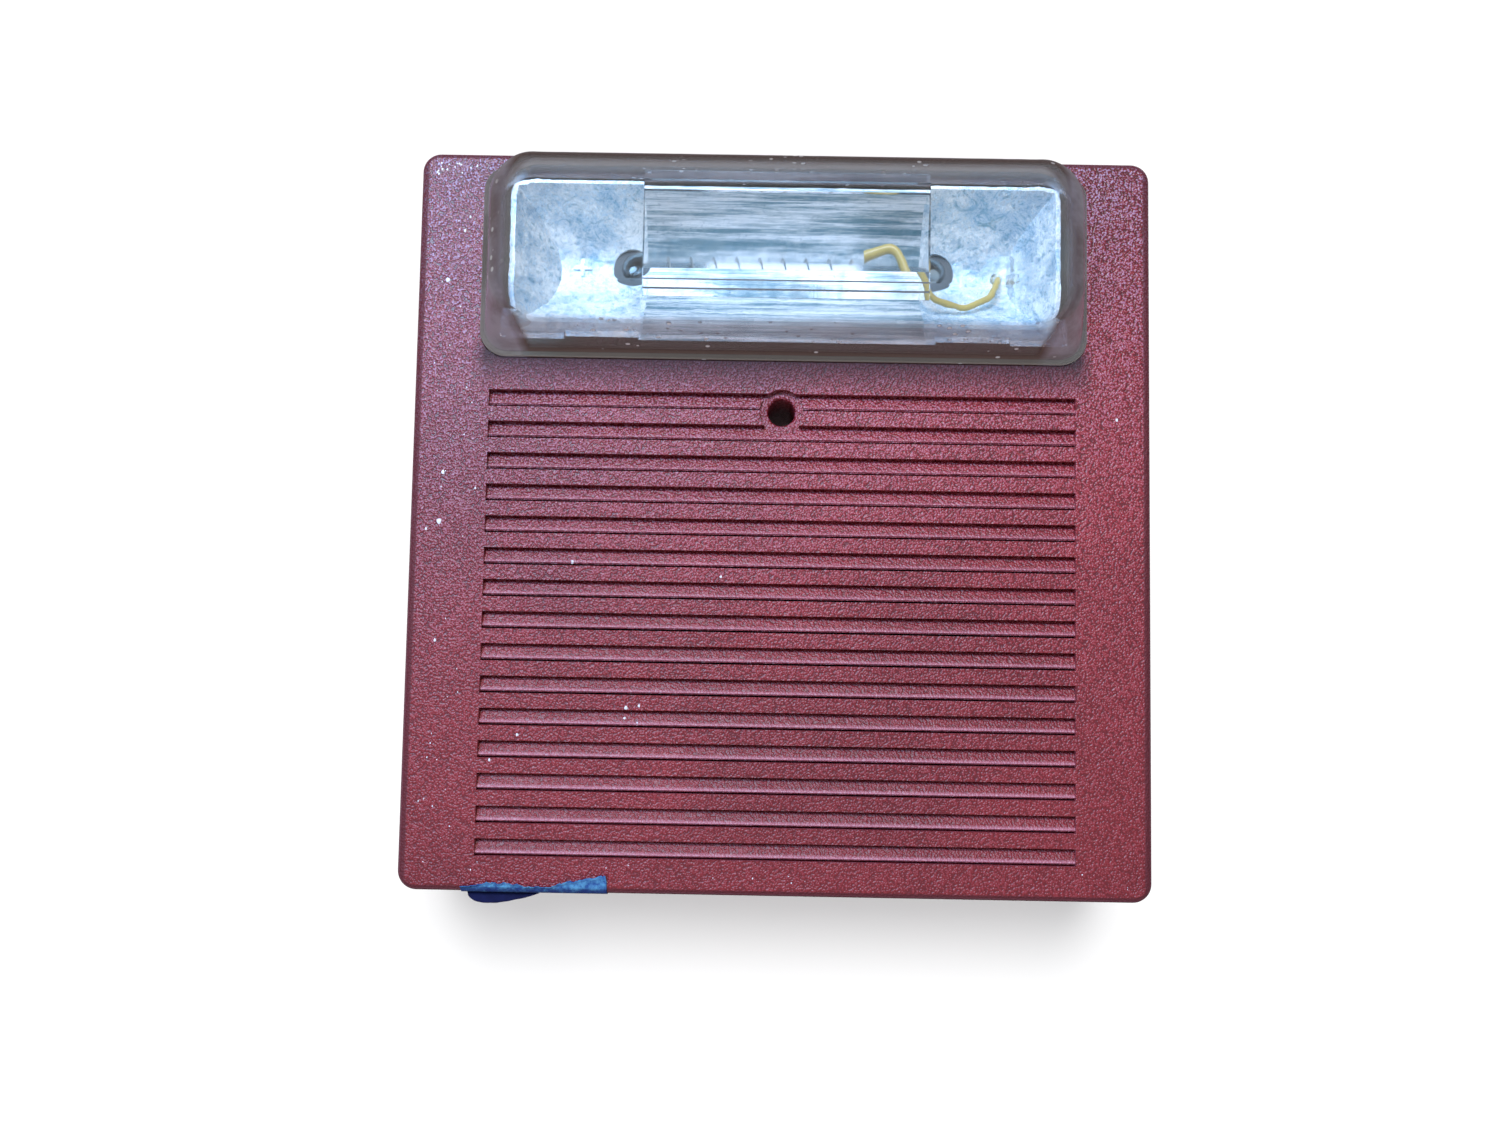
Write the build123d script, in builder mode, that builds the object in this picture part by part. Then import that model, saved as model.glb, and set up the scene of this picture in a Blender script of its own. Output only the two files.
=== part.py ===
from build123d import *
import math
import os

# Wall fire-alarm horn strobe. Millimetres. +Z is up and the wall is the plane y = 0.
# The unit stands out from the wall towards -Y, so a place is given as x, its distance out, and z.

os.makedirs("parts", exist_ok=True)

# Cover
WIDTH = 133.35
COVER_DEPTH = 30.0
FRONT_WALL = 2.8
SIDE_WALL = 2.4
CORNER_RADIUS = 3.4
EDGE_RADIUS = 1.4
INNER_FACE = COVER_DEPTH - FRONT_WALL
INNER_HALF = WIDTH / 2 - SIDE_WALL

# Louvres: each is a recess whose floor rises to a lip, with a narrow groove below it
LOUVRE_COUNT = 15
LOUVRE_TOP = 22.9
LOUVRE_PITCH = 5.73
LOUVRE_WIDTH = 106.0
RECESS_DEPTH = 1.45
LIP_DEPTH = 0.4
FLOOR_HEIGHT = 2.75
GROOVE_HEIGHT = 0.34
GROOVE_DEPTH = 2.0
LIP_RADIUS = 0.22

# Sounder behind the louvres
SOUNDER_Z = -23.5
SLIT_RADIUS = 37.0
SLIT_RIB = 2.1
SLIT_RIB_SPACING = 18.5
GUIDE_RADIUS = 37.8
GUIDE_WALL = 1.7
GUIDE_END = 22.7
EAR_RADIUS = 41.5
EAR_ANGLES = (45, 135, 225, 315)

# Fixing screw
BOSS_Z = 19.65
BORE_RADIUS = 2.45
BORE_EDGE_RADIUS = 0.5
BOSS_RADIUS = 4.4
SEAT_RADIUS = 4.0
SEAT_DEPTH = 1.2
SEAT_OUT = COVER_DEPTH - SEAT_DEPTH

# Strobe lens
LENS_Z = 46.4
LENS_WIDTH = 109.6
LENS_HEIGHT = 35.0
LENS_OUT = 48.0
LENS_WALL = 1.8
LENS_LIP = 0.6
LENS_LIP_HEIGHT = 1.0
LENS_SIDE_DRAFT = 14.9
LENS_TOP_DRAFT = 9.6
LENS_BASE_RADIUS = 4.6
LENS_FRONT_RADIUS = 8.6
LENS_EDGE_RADIUS = 6.0
LENS_GAP = 0.2
FLANGE_THICKNESS = 1.5
FLANGE_REACH = 2.2
OPTIC_HALF_WIDTH = 24.0
LENS_EAR_X = 60.0
LENS_EAR_DZ = 11.0

# Reflector and flash tube
REFLECTOR_HALF_WIDTH = 48.8
REFLECTOR_HALF_HEIGHT = 13.2
REFLECTOR_FLOOR = 23.5
REFLECTOR_RIM = 33.5
REFLECTOR_WALL = 1.2
FLOOR_HALF_WIDTH = 41.5
TUBE_OUT = 28.0
TUBE_Z = LENS_Z + 0.8
TUBE_HALF_SPAN = 28.2
TUBE_RADIUS = 2.0
TUBE_BORE = 1.4
TUBE_BEND = 4.2
TUBE_END = 17.0
LEG_X = 34.0
LEG_DZ = 9.0
LEAD_HOLE_X = 40.0

# Circuit board
BOARD_BACK = 12.0
BOARD_THICKNESS = 1.6
BOARD_FRONT = BOARD_BACK + BOARD_THICKNESS
BOARD_SIZE = 123.0
POST_X = 57.0
POST_TOP_Z = 16.0
POST_LOW_Z = -56.0
POST_RADIUS = 3.5
PILOT_RADIUS = 1.25
BOARD_POSTS = [(x, z) for x in (-POST_X, POST_X) for z in (POST_LOW_Z, POST_TOP_Z)]
LEGS = [(x, LENS_Z + dz) for x in (-LEG_X, LEG_X) for dz in (-LEG_DZ, LEG_DZ)]
LENS_EARS = [(x, LENS_Z + dz) for x in (-LENS_EAR_X, LENS_EAR_X) for dz in (-LENS_EAR_DZ, LENS_EAR_DZ)]
SOUNDER_EARS = [
    (EAR_RADIUS * math.cos(math.radians(a)), SOUNDER_Z + EAR_RADIUS * math.sin(math.radians(a)))
    for a in EAR_ANGLES
]
LEAD_RADIUS = 0.3
LEAD_HOLE = 0.5
CAPACITOR_Z = 36.0
CAPACITOR_OUT = 6.5
CAPACITOR_RADIUS = 5.0
CAPACITOR_START = -13.5
CAPACITOR_LENGTH = 21.0
CAPACITOR_PINS = [(-15.6, 38.5), (-15.6, 33.5)]

# Terminal block
POLES = 4
POLE_PITCH = 7.62
TERMINAL_Z = -50.0
TERMINAL_DEPTH = 11.0
TERMINAL_BACK = 1.0
POLE_XS = [(i - (POLES - 1) / 2) * POLE_PITCH for i in range(POLES)]

# Switches
DIP_X = 34.0
DIP_Z = -48.0
DIP_PITCH = 2.54
DIP_TRAVEL = 1.6
DIP_ZS = [DIP_Z + (1.5 - i) * DIP_PITCH for i in range(4)]
CANDELA_X = -36.0
CANDELA_Z = -48.0
CANDELA_TRAVEL = 6.0


def layer(out):
    """The plane that lies this far out from the wall, seen from the front."""
    return Plane.XZ.offset(out)


def at(x, out, z):
    return Vector(x, -out, z)


def save(part, name):
    part.label = name
    export_step(part, f"parts/{name}.step")


def disc(x, z, radius, start, stop):
    """A round bar along the way out of the wall, from start to stop."""
    with BuildSketch(layer(start)) as section:
        with Locations((x, z)):
            Circle(radius)
    extrude(section.sketch, amount=stop - start)


def block(x, z, width, height, start, stop, mode=Mode.ADD):
    """A square bar along the way out of the wall, from start to stop."""
    with BuildSketch(layer(start)) as section:
        with Locations((x, z)):
            Rectangle(width, height)
    extrude(section.sketch, amount=stop - start, mode=mode)


def bore(places, radius, start, stop):
    """Round holes along the way out of the wall, from start to stop."""
    with BuildSketch(layer(start)) as section:
        with Locations(*places):
            Circle(radius)
    extrude(section.sketch, amount=stop - start, mode=Mode.SUBTRACT)


def screws(name, places, head_radius, head_start, head_stop, shank_radius, tip):
    """Pan-head screws driven from behind, with a cross recess, as separate solids of one node."""
    with BuildPart() as made:
        for x, z in places:
            disc(x, z, head_radius, head_start, head_stop)
            disc(x, z, shank_radius, head_stop, tip)
        with BuildSketch(layer(head_start)):
            with Locations(*places):
                Rectangle(head_radius * 1.2, 0.5)
                Rectangle(0.5, head_radius * 1.2)
        extrude(amount=(head_stop - head_start) * 0.6, mode=Mode.SUBTRACT)
        rims = made.edges().filter_by(GeomType.CIRCLE).group_by(Axis.Y)[-1]
        fillet(rims, 0.35)
    save(made.part, name)


def wire(points, radius, bends):
    """A round wire along straight runs joined by tangent arcs."""
    with BuildPart() as made:
        with BuildLine() as route:
            FilletPolyline(*points, radius=bends)
        with BuildSketch(Plane(origin=route.line @ 0, z_dir=route.line % 0)):
            Circle(radius)
        sweep()
    return made.part


# ---------------------------------------------------------------- front cover
def louvre_profile(top):
    """A recess with this top edge, its rising floor, its rounded lip and its groove, in section."""
    front = -COVER_DEPTH - 1
    floor = -COVER_DEPTH + RECESS_DEPTH
    shallow = -COVER_DEPTH + LIP_DEPTH
    deep = -COVER_DEPTH + GROOVE_DEPTH
    lip = top - FLOOR_HEIGHT
    with BuildSketch(Plane.YZ) as profile:
        with BuildLine():
            Polyline((front, top), (floor, top), (shallow, lip + LIP_RADIUS))
            RadiusArc((shallow, lip + LIP_RADIUS), (shallow + LIP_RADIUS, lip), LIP_RADIUS)
            Polyline(
                (shallow + LIP_RADIUS, lip),
                (deep, lip),
                (deep, lip - GROOVE_HEIGHT),
                (front, lip - GROOVE_HEIGHT),
                (front, top),
            )
        make_face()
    return profile.sketch


with BuildPart() as front_cover:
    with BuildSketch(layer(0)):
        RectangleRounded(WIDTH, WIDTH, CORNER_RADIUS)
    extrude(amount=COVER_DEPTH)
    fillet(front_cover.faces().sort_by(Axis.Y)[0].edges(), EDGE_RADIUS)
    with BuildSketch(layer(0)):
        RectangleRounded(2 * INNER_HALF, 2 * INNER_HALF, 1.2)
    extrude(amount=INNER_FACE, mode=Mode.SUBTRACT)
    for row in range(LOUVRE_COUNT):
        louvre = louvre_profile(LOUVRE_TOP - row * LOUVRE_PITCH)
        extrude(louvre, amount=LOUVRE_WIDTH / 2, both=True, mode=Mode.SUBTRACT)
    # sound slits through the grooves, inside a circle and between upright ribs
    with BuildSketch(layer(INNER_FACE)):
        with Locations((0, SOUNDER_Z)):
            Circle(SLIT_RADIUS)
        middle = LOUVRE_TOP - FLOOR_HEIGHT - GROOVE_HEIGHT / 2 - LOUVRE_PITCH * (LOUVRE_COUNT - 1) / 2
        with Locations((0, middle)):
            with GridLocations(0, LOUVRE_PITCH, 1, LOUVRE_COUNT):
                Rectangle(LOUVRE_WIDTH, GROOVE_HEIGHT, mode=Mode.INTERSECT)
        with Locations(*[(i * SLIT_RIB_SPACING, SOUNDER_Z) for i in (-1, 0, 1)]):
            Rectangle(SLIT_RIB, 2 * SLIT_RADIUS, mode=Mode.SUBTRACT)
    extrude(amount=FRONT_WALL, mode=Mode.SUBTRACT)
    # lens opening
    with BuildSketch(layer(INNER_FACE)):
        with Locations((0, LENS_Z)):
            RectangleRounded(
                LENS_WIDTH + 2 * LENS_GAP, LENS_HEIGHT + 2 * LENS_GAP, LENS_BASE_RADIUS + LENS_GAP
            )
    extrude(amount=FRONT_WALL, mode=Mode.SUBTRACT)
    # sound guide, posts and screw boss inside
    with BuildSketch(layer(GUIDE_END)):
        with Locations((0, SOUNDER_Z)):
            Circle(GUIDE_RADIUS + GUIDE_WALL)
            Circle(GUIDE_RADIUS, mode=Mode.SUBTRACT)
    extrude(amount=INNER_FACE - GUIDE_END)
    with BuildSketch(layer(GUIDE_END)):
        with Locations(*SOUNDER_EARS):
            Circle(3.0)
        with Locations((0, SOUNDER_Z)):
            Circle(GUIDE_RADIUS, mode=Mode.SUBTRACT)
    extrude(amount=INNER_FACE - GUIDE_END)
    with BuildSketch(layer(BOARD_FRONT)):
        with Locations(*BOARD_POSTS):
            Circle(POST_RADIUS)
    extrude(amount=INNER_FACE - BOARD_FRONT)
    disc(0, BOSS_Z, BOSS_RADIUS, 0, INNER_FACE)
    disc(0, BOSS_Z, SEAT_RADIUS, INNER_FACE, SEAT_OUT)
    # hook tabs on the top and bottom walls, for the box's bracket
    for x in (-35, 35):
        for side in (-1, 1):
            block(x, side * (INNER_HALF - 0.7), 10, 1.4, 0.6, 3.0)
    bore(BOARD_POSTS, PILOT_RADIUS, BOARD_FRONT, BOARD_FRONT + 9)
    bore(SOUNDER_EARS, 1.0, GUIDE_END, INNER_FACE + 1)
    bore(LENS_EARS, 1.0, INNER_FACE, INNER_FACE + 1.6)
    bore([(0, BOSS_Z)], SEAT_RADIUS, SEAT_OUT, COVER_DEPTH)
    bore([(0, BOSS_Z)], BORE_RADIUS, 0, COVER_DEPTH)
    mouth = front_cover.edges().filter_by(GeomType.CIRCLE).filter_by_position(
        Axis.Y, -SEAT_OUT - 0.01, -SEAT_OUT + 0.01
    )
    fillet(mouth.filter_by(lambda edge: abs(edge.radius - BORE_RADIUS) < 0.01), BORE_EDGE_RADIUS)
save(front_cover.part, "front_cover")


# ---------------------------------------------------------------- strobe lens
def lens_shape(inset, front):
    """The dome inside its lip, or with an inset its hollow: straight through the cover, then tapering."""
    width = LENS_WIDTH - 2 * (LENS_LIP + inset)
    height = LENS_HEIGHT - 2 * (LENS_LIP + inset)
    base_radius = LENS_BASE_RADIUS - LENS_LIP - inset / 2
    rise = front - COVER_DEPTH
    front_width = width - 2 * rise * math.tan(math.radians(LENS_SIDE_DRAFT))
    front_height = height - 2 * rise * math.tan(math.radians(LENS_TOP_DRAFT))
    with BuildPart() as shape:
        with BuildSketch(layer(INNER_FACE - FLANGE_THICKNESS)):
            with Locations((0, LENS_Z)):
                RectangleRounded(width, height, base_radius)
        extrude(amount=COVER_DEPTH - INNER_FACE + FLANGE_THICKNESS)
        with BuildSketch(layer(COVER_DEPTH)):
            with Locations((0, LENS_Z)):
                RectangleRounded(width, height, base_radius)
        with BuildSketch(layer(front)):
            with Locations((0, LENS_Z)):
                RectangleRounded(front_width, front_height, LENS_FRONT_RADIUS - inset / 2)
        loft(ruled=True)
        fillet(shape.faces().sort_by(Axis.Y)[0].edges(), LENS_EDGE_RADIUS - inset / 2)
    return shape.part


def optic_profile():
    """The stepped optic inside the dome's front, in section: a thick middle with prism steps each side."""
    back = -(LENS_OUT - LENS_WALL) - 0.4
    with BuildSketch(Plane.YZ) as profile:
        with BuildLine():
            Polyline(
                (back, LENS_Z - 10.6),
                (back + 1.3, LENS_Z - 10.6),
                (back + 1.0, LENS_Z - 9.2),
                (back + 2.0, LENS_Z - 9.2),
                (back + 1.5, LENS_Z - 7.6),
                (back + 2.6, LENS_Z - 7.6),
                (back + 2.0, LENS_Z - 5.8),
            )
            ThreePointArc(
                (back + 2.0, LENS_Z - 5.8),
                (back + 3.4, LENS_Z),
                (back + 2.0, LENS_Z + 5.8),
            )
            Polyline(
                (back + 2.0, LENS_Z + 5.8),
                (back + 2.6, LENS_Z + 7.6),
                (back + 1.5, LENS_Z + 7.6),
                (back + 2.0, LENS_Z + 9.2),
                (back + 1.0, LENS_Z + 9.2),
                (back + 1.3, LENS_Z + 10.6),
                (back, LENS_Z + 10.6),
                (back, LENS_Z - 10.6),
            )
        make_face()
    return profile.sketch


dome = lens_shape(0, LENS_OUT)
hollow = lens_shape(LENS_WALL, LENS_OUT - LENS_WALL)
with BuildPart() as strobe_lens:
    add(dome)
    flange_start = INNER_FACE - FLANGE_THICKNESS
    with BuildSketch(layer(flange_start)):
        with Locations((0, LENS_Z - FLANGE_REACH / 2)):
            RectangleRounded(LENS_WIDTH + 2 * FLANGE_REACH, LENS_HEIGHT + FLANGE_REACH, LENS_BASE_RADIUS)
        with Locations(*LENS_EARS):
            Circle(3.2)
    extrude(amount=FLANGE_THICKNESS)
    with BuildSketch(layer(INNER_FACE)):
        with Locations((0, LENS_Z)):
            RectangleRounded(LENS_WIDTH, LENS_HEIGHT, LENS_BASE_RADIUS)
    extrude(amount=COVER_DEPTH - INNER_FACE + LENS_LIP_HEIGHT)
    lip_front = -COVER_DEPTH - LENS_LIP_HEIGHT
    lip_edges = strobe_lens.edges().filter_by_position(Axis.Y, lip_front - 0.01, lip_front + 0.01)
    fillet(lip_edges.filter_by(lambda edge: edge.bounding_box().size.Y < 0.01), LENS_LIP * 0.45)
    add(hollow, mode=Mode.SUBTRACT)
    extrude(optic_profile(), amount=OPTIC_HALF_WIDTH, both=True)
    bore(LENS_EARS, 1.3, flange_start, INNER_FACE)
save(strobe_lens.part, "strobe_lens")

screws("lens_screws", LENS_EARS, 2.2, flange_start - 1.4, flange_start, 0.97, INNER_FACE + 1.4)


# ---------------------------------------------------------------- reflector
def trough(half_height, floor, half_width, floor_half_width):
    """The trough's volume: a parabola along X, with slanted ends, open towards the front."""
    rise = REFLECTOR_RIM - floor
    with BuildPart() as made:
        with BuildSketch(Plane.YZ):
            with BuildLine():
                Bezier(
                    (-REFLECTOR_RIM, LENS_Z - half_height),
                    (-floor + rise, LENS_Z),
                    (-REFLECTOR_RIM, LENS_Z + half_height),
                )
                Line((-REFLECTOR_RIM, LENS_Z + half_height), (-REFLECTOR_RIM, LENS_Z - half_height))
            make_face()
        extrude(amount=half_width, both=True)
        with BuildSketch(Plane.XY.offset(LENS_Z)):
            Polygon(
                (-floor_half_width, -floor),
                (floor_half_width, -floor),
                (half_width, -REFLECTOR_RIM),
                (-half_width, -REFLECTOR_RIM),
                align=None,
            )
        extrude(amount=half_height + 1, both=True, mode=Mode.INTERSECT)
    return made.part


trough_space = trough(REFLECTOR_HALF_HEIGHT, REFLECTOR_FLOOR, REFLECTOR_HALF_WIDTH, FLOOR_HALF_WIDTH)
trough_body = trough(
    REFLECTOR_HALF_HEIGHT + 1.0,
    REFLECTOR_FLOOR - REFLECTOR_WALL,
    REFLECTOR_HALF_WIDTH + REFLECTOR_WALL,
    FLOOR_HALF_WIDTH + 1.3,
)
with BuildPart() as reflector:
    add(trough_body)
    with BuildSketch(layer(BOARD_FRONT)):
        with Locations(*LEGS):
            Circle(2.2)
    extrude(amount=27.0 - BOARD_FRONT)
    add(trough_space, mode=Mode.SUBTRACT)
    # plus mark by the tube's anode end, and rim notches for the moulding clips
    block(-37.6, LENS_Z + 1.0, 3.4, 0.7, REFLECTOR_FLOOR - 0.3, REFLECTOR_FLOOR + 0.45)
    block(-37.6, LENS_Z + 1.0, 0.7, 3.4, REFLECTOR_FLOOR - 0.3, REFLECTOR_FLOOR + 0.45)
    notch_z = LENS_Z - REFLECTOR_HALF_HEIGHT
    for x in (-32.4, 33.7):
        block(x, notch_z, 13.3, 3.2, REFLECTOR_RIM - 1.2, REFLECTOR_RIM, Mode.SUBTRACT)
    bore([(-TUBE_HALF_SPAN, TUBE_Z), (TUBE_HALF_SPAN, TUBE_Z)], 3.6, 20, 30)
    bore([(LEAD_HOLE_X, LENS_Z)], 0.95, 20, 30)
    bore(LEGS, 0.95, BOARD_FRONT, BOARD_FRONT + 7)
save(reflector.part, "reflector")

screws("reflector_screws", LEGS, 2.0, BOARD_BACK - 1.4, BOARD_BACK, 0.92, BOARD_FRONT + 6.5)


# ---------------------------------------------------------------- flash tube
def tube_route(end):
    return [
        at(-TUBE_HALF_SPAN, end, TUBE_Z),
        at(-TUBE_HALF_SPAN, TUBE_OUT, TUBE_Z),
        at(TUBE_HALF_SPAN, TUBE_OUT, TUBE_Z),
        at(TUBE_HALF_SPAN, end, TUBE_Z),
    ]


tube_outside = wire(tube_route(TUBE_END), TUBE_RADIUS, TUBE_BEND)
tube_inside = wire(tube_route(TUBE_END + 2.0), TUBE_BORE, TUBE_BEND)
TUBE_ENDS = {"tube_anode": -TUBE_HALF_SPAN, "tube_cathode": TUBE_HALF_SPAN}
with BuildPart() as flash_tube:
    add(tube_outside)
    add(tube_inside, mode=Mode.SUBTRACT)
    bore([(x, TUBE_Z) for x in TUBE_ENDS.values()], 0.42, TUBE_END, TUBE_END + 2)
save(flash_tube.part, "flash_tube")

with BuildPart() as tube_anode:
    disc(-TUBE_HALF_SPAN, TUBE_Z, 0.4, BOARD_BACK - 1.0, TUBE_END + 3.0)
    disc(-TUBE_HALF_SPAN, TUBE_Z, 0.7, TUBE_END + 3.0, TUBE_END + 6.0)
save(tube_anode.part, "tube_anode")

with BuildPart() as tube_cathode:
    disc(TUBE_HALF_SPAN, TUBE_Z, 0.4, BOARD_BACK - 1.0, TUBE_END + 2.6)
    disc(TUBE_HALF_SPAN, TUBE_Z, 1.15, TUBE_END + 2.6, TUBE_END + 6.2)
save(tube_cathode.part, "tube_cathode")

with BuildPart() as tube_grommets:
    for x in TUBE_ENDS.values():
        disc(x, TUBE_Z, 4.5, REFLECTOR_FLOOR - REFLECTOR_WALL - 1.1, REFLECTOR_FLOOR - REFLECTOR_WALL)
        disc(x, TUBE_Z, 3.58, REFLECTOR_FLOOR - REFLECTOR_WALL, REFLECTOR_FLOOR + 0.25)
    bore([(x, TUBE_Z) for x in TUBE_ENDS.values()], TUBE_RADIUS + 0.02, 20, 30)
save(tube_grommets.part, "tube_grommets")

TRIGGER_PITCH = 4.2
TRIGGER_LENGTH = 34.0
TRIGGER_WIRE_RADIUS = 0.15
with BuildPart() as trigger_wire:
    with BuildLine() as turns:
        Helix(
            pitch=TRIGGER_PITCH,
            height=TRIGGER_LENGTH,
            radius=TUBE_RADIUS + TRIGGER_WIRE_RADIUS + 0.03,
            center=at(-21.5, TUBE_OUT, TUBE_Z),
            direction=(1, 0, 0),
        )
    with BuildSketch(Plane(origin=turns.line @ 0, z_dir=turns.line % 0)):
        Circle(TRIGGER_WIRE_RADIUS)
    sweep(is_frenet=True)
save(trigger_wire.part, "trigger_wire")

TRIGGER_LEAD_RADIUS = 0.6
trigger_lead_points = [
    at(14.4, 30.6, 48.9),
    at(19.6, 31.4, 49.8),
    at(23.6, 31.6, 45.4),
    at(26.8, 30.6, 40.2),
    at(33.0, 28.8, 38.9),
    at(38.0, 27.6, 41.6),
    at(LEAD_HOLE_X, 25.8, LENS_Z),
    at(LEAD_HOLE_X, BOARD_BACK - 1.0, LENS_Z),
]
trigger_lead = wire(trigger_lead_points, TRIGGER_LEAD_RADIUS, [2.4, 3.4, 3.6, 3.6, 2.6, 1.6])
save(trigger_lead, "trigger_lead")

with BuildPart() as lead_sealant:
    with Locations(at(LEAD_HOLE_X + 1.6, REFLECTOR_FLOOR - 2.0, LENS_Z)):
        Sphere(5.4)
    add(trough_space, mode=Mode.INTERSECT)
    add(trigger_lead, mode=Mode.SUBTRACT)
save(lead_sealant.part, "lead_sealant")

# ---------------------------------------------------------------- circuit board and its parts
RESISTOR_XS = (-22.0, -17.0, -12.0, 12.0, 17.0, 22.0)
RESISTOR_Z = 4.0
DIODE_XS = (14.0, 20.0, 26.0, 32.0)
DIODE_Z = 19.0
LEAD_SPAN = 10.4
AXIAL_OUT = BOARD_BACK - 1.7
AXIALS = [(x, RESISTOR_Z, 3.2) for x in RESISTOR_XS] + [(x, DIODE_Z, 2.6) for x in DIODE_XS]
PINS = {
    "power_inductor": [(41.5, 2.0), (50.5, 2.0)],
    "trigger_transformer": [(48.0, 38.4), (52.0, 38.4), (50.0, 42.0)],
    "horn_transformer": [(-48.5, -4.0), (-39.5, -4.0)],
    "film_capacitor": [(9.0, 52.0), (23.0, 52.0)],
    "small_film": [(-10.5, 47.5), (-5.5, 47.5), (-10.5, 54.0), (-5.5, 54.0)],
    "electrolytic": [(-31.25, 8.0), (-28.75, 8.0), (-31.25, 20.0), (-28.75, 20.0)],
    "transistor": [(-49.54, 31.0), (-47.0, 31.0), (-44.46, 31.0)],
}
SOUNDER_LEAD_ENDS = [(11.5, SOUNDER_Z), (-16.6, SOUNDER_Z)]
PIN_PLACES = [place for places in PINS.values() for place in places]
AXIAL_PLACES = [(x, z + side * LEAD_SPAN / 2) for x, z, half in AXIALS for side in (-1, 1)] + CAPACITOR_PINS
TAIL_PLACES = [(x, TERMINAL_Z + 4.6) for x in POLE_XS]
with BuildPart() as circuit_board:
    with BuildSketch(layer(BOARD_BACK)):
        RectangleRounded(BOARD_SIZE, BOARD_SIZE, 3)
        with Locations((0, BOSS_Z)):
            Circle(BOSS_RADIUS + 0.4, mode=Mode.SUBTRACT)
        with Locations(*BOARD_POSTS, *LEGS):
            Circle(1.5, mode=Mode.SUBTRACT)
        with Locations(*PIN_PLACES, *AXIAL_PLACES):
            Circle(LEAD_HOLE, mode=Mode.SUBTRACT)
        with Locations(*TAIL_PLACES, *SOUNDER_LEAD_ENDS, *[(x, TUBE_Z) for x in TUBE_ENDS.values()]):
            Circle(0.75, mode=Mode.SUBTRACT)
        with Locations((LEAD_HOLE_X, LENS_Z)):
            Circle(0.9, mode=Mode.SUBTRACT)
    extrude(amount=BOARD_THICKNESS)
save(circuit_board.part, "circuit_board")

screws("board_screws", BOARD_POSTS, 2.9, BOARD_BACK - 1.9, BOARD_BACK, 1.2, BOARD_FRONT + 8)


def solder(places, hole, base, tip, start, stop):
    """Solder fillets round the leads at these places, from the board's face to their tips."""
    for x, z in places:
        with BuildSketch(layer(start)) as foot:
            with Locations((x, z)):
                Circle(base)
        with BuildSketch(layer(stop)) as top:
            with Locations((x, z)):
                Circle(tip)
        loft([foot.sketch, top.sketch])
        bore([(x, z)], hole, min(start, stop), max(start, stop))


with BuildPart() as solder_joints:
    solder(PIN_PLACES + AXIAL_PLACES, LEAD_RADIUS + 0.01, 0.9, 0.45, BOARD_FRONT, BOARD_FRONT + 0.9)
    solder([(x, TUBE_Z) for x in TUBE_ENDS.values()], 0.41, 1.3, 0.6, BOARD_BACK, BOARD_BACK - 0.9)
    solder(SOUNDER_LEAD_ENDS, 0.41, 1.3, 0.6, BOARD_BACK, BOARD_BACK - 0.7)
    solder([(LEAD_HOLE_X, LENS_Z)], 0.61, 1.5, 0.8, BOARD_BACK, BOARD_BACK - 0.9)
save(solder_joints.part, "solder_joints")

with BuildPart() as resistors:
    for x in RESISTOR_XS:
        with BuildSketch(Plane.XY.offset(RESISTOR_Z - 3.2)):
            with Locations((x, -AXIAL_OUT)):
                Circle(1.15)
        extrude(amount=6.4)
    fillet(resistors.edges().filter_by(GeomType.CIRCLE), 0.4)
save(resistors.part, "resistors")

with BuildPart() as rectifier_diodes:
    for x in DIODE_XS:
        with BuildSketch(Plane.XY.offset(DIODE_Z - 2.6)):
            with Locations((x, -AXIAL_OUT)):
                Circle(1.35)
        extrude(amount=5.2)
    fillet(rectifier_diodes.edges().filter_by(GeomType.CIRCLE), 0.2)
save(rectifier_diodes.part, "rectifier_diodes")

axial_leads = [
    wire(
        [
            at(x, AXIAL_OUT, z + side * half),
            at(x, AXIAL_OUT, z + side * LEAD_SPAN / 2),
            at(x, BOARD_FRONT + 0.7, z + side * LEAD_SPAN / 2),
        ],
        LEAD_RADIUS,
        0.8,
    )
    for x, z, half in AXIALS
    for side in (-1, 1)
]
capacitor_leads = [
    wire(
        [at(CAPACITOR_START, CAPACITOR_OUT, z), at(x, CAPACITOR_OUT, z), at(x, BOARD_FRONT + 0.7, z)],
        LEAD_RADIUS,
        0.8,
    )
    for x, z in CAPACITOR_PINS
]
with BuildPart() as component_leads:
    for lead in axial_leads + capacitor_leads:
        add(lead)
    for x, z in PIN_PLACES:
        disc(x, z, LEAD_RADIUS, BOARD_BACK, BOARD_FRONT + 0.7)
save(component_leads.part, "component_leads")

# flash capacitor, lying along X
with BuildPart() as flash_capacitor:
    with BuildSketch(Plane.YZ.offset(CAPACITOR_START + 1.6)):
        with Locations((-CAPACITOR_OUT, CAPACITOR_Z)):
            Circle(CAPACITOR_RADIUS)
    extrude(amount=CAPACITOR_LENGTH - 1.6)
    fillet(flash_capacitor.edges().filter_by(GeomType.CIRCLE).sort_by(Axis.X)[-1], 0.6)
    with BuildSketch(Plane.YZ.offset(CAPACITOR_START + CAPACITOR_LENGTH)):
        with Locations((-CAPACITOR_OUT, CAPACITOR_Z)):
            Rectangle(6, 0.3)
            Rectangle(0.3, 6)
    extrude(amount=-0.3, mode=Mode.SUBTRACT)
save(flash_capacitor.part, "flash_capacitor")

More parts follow.
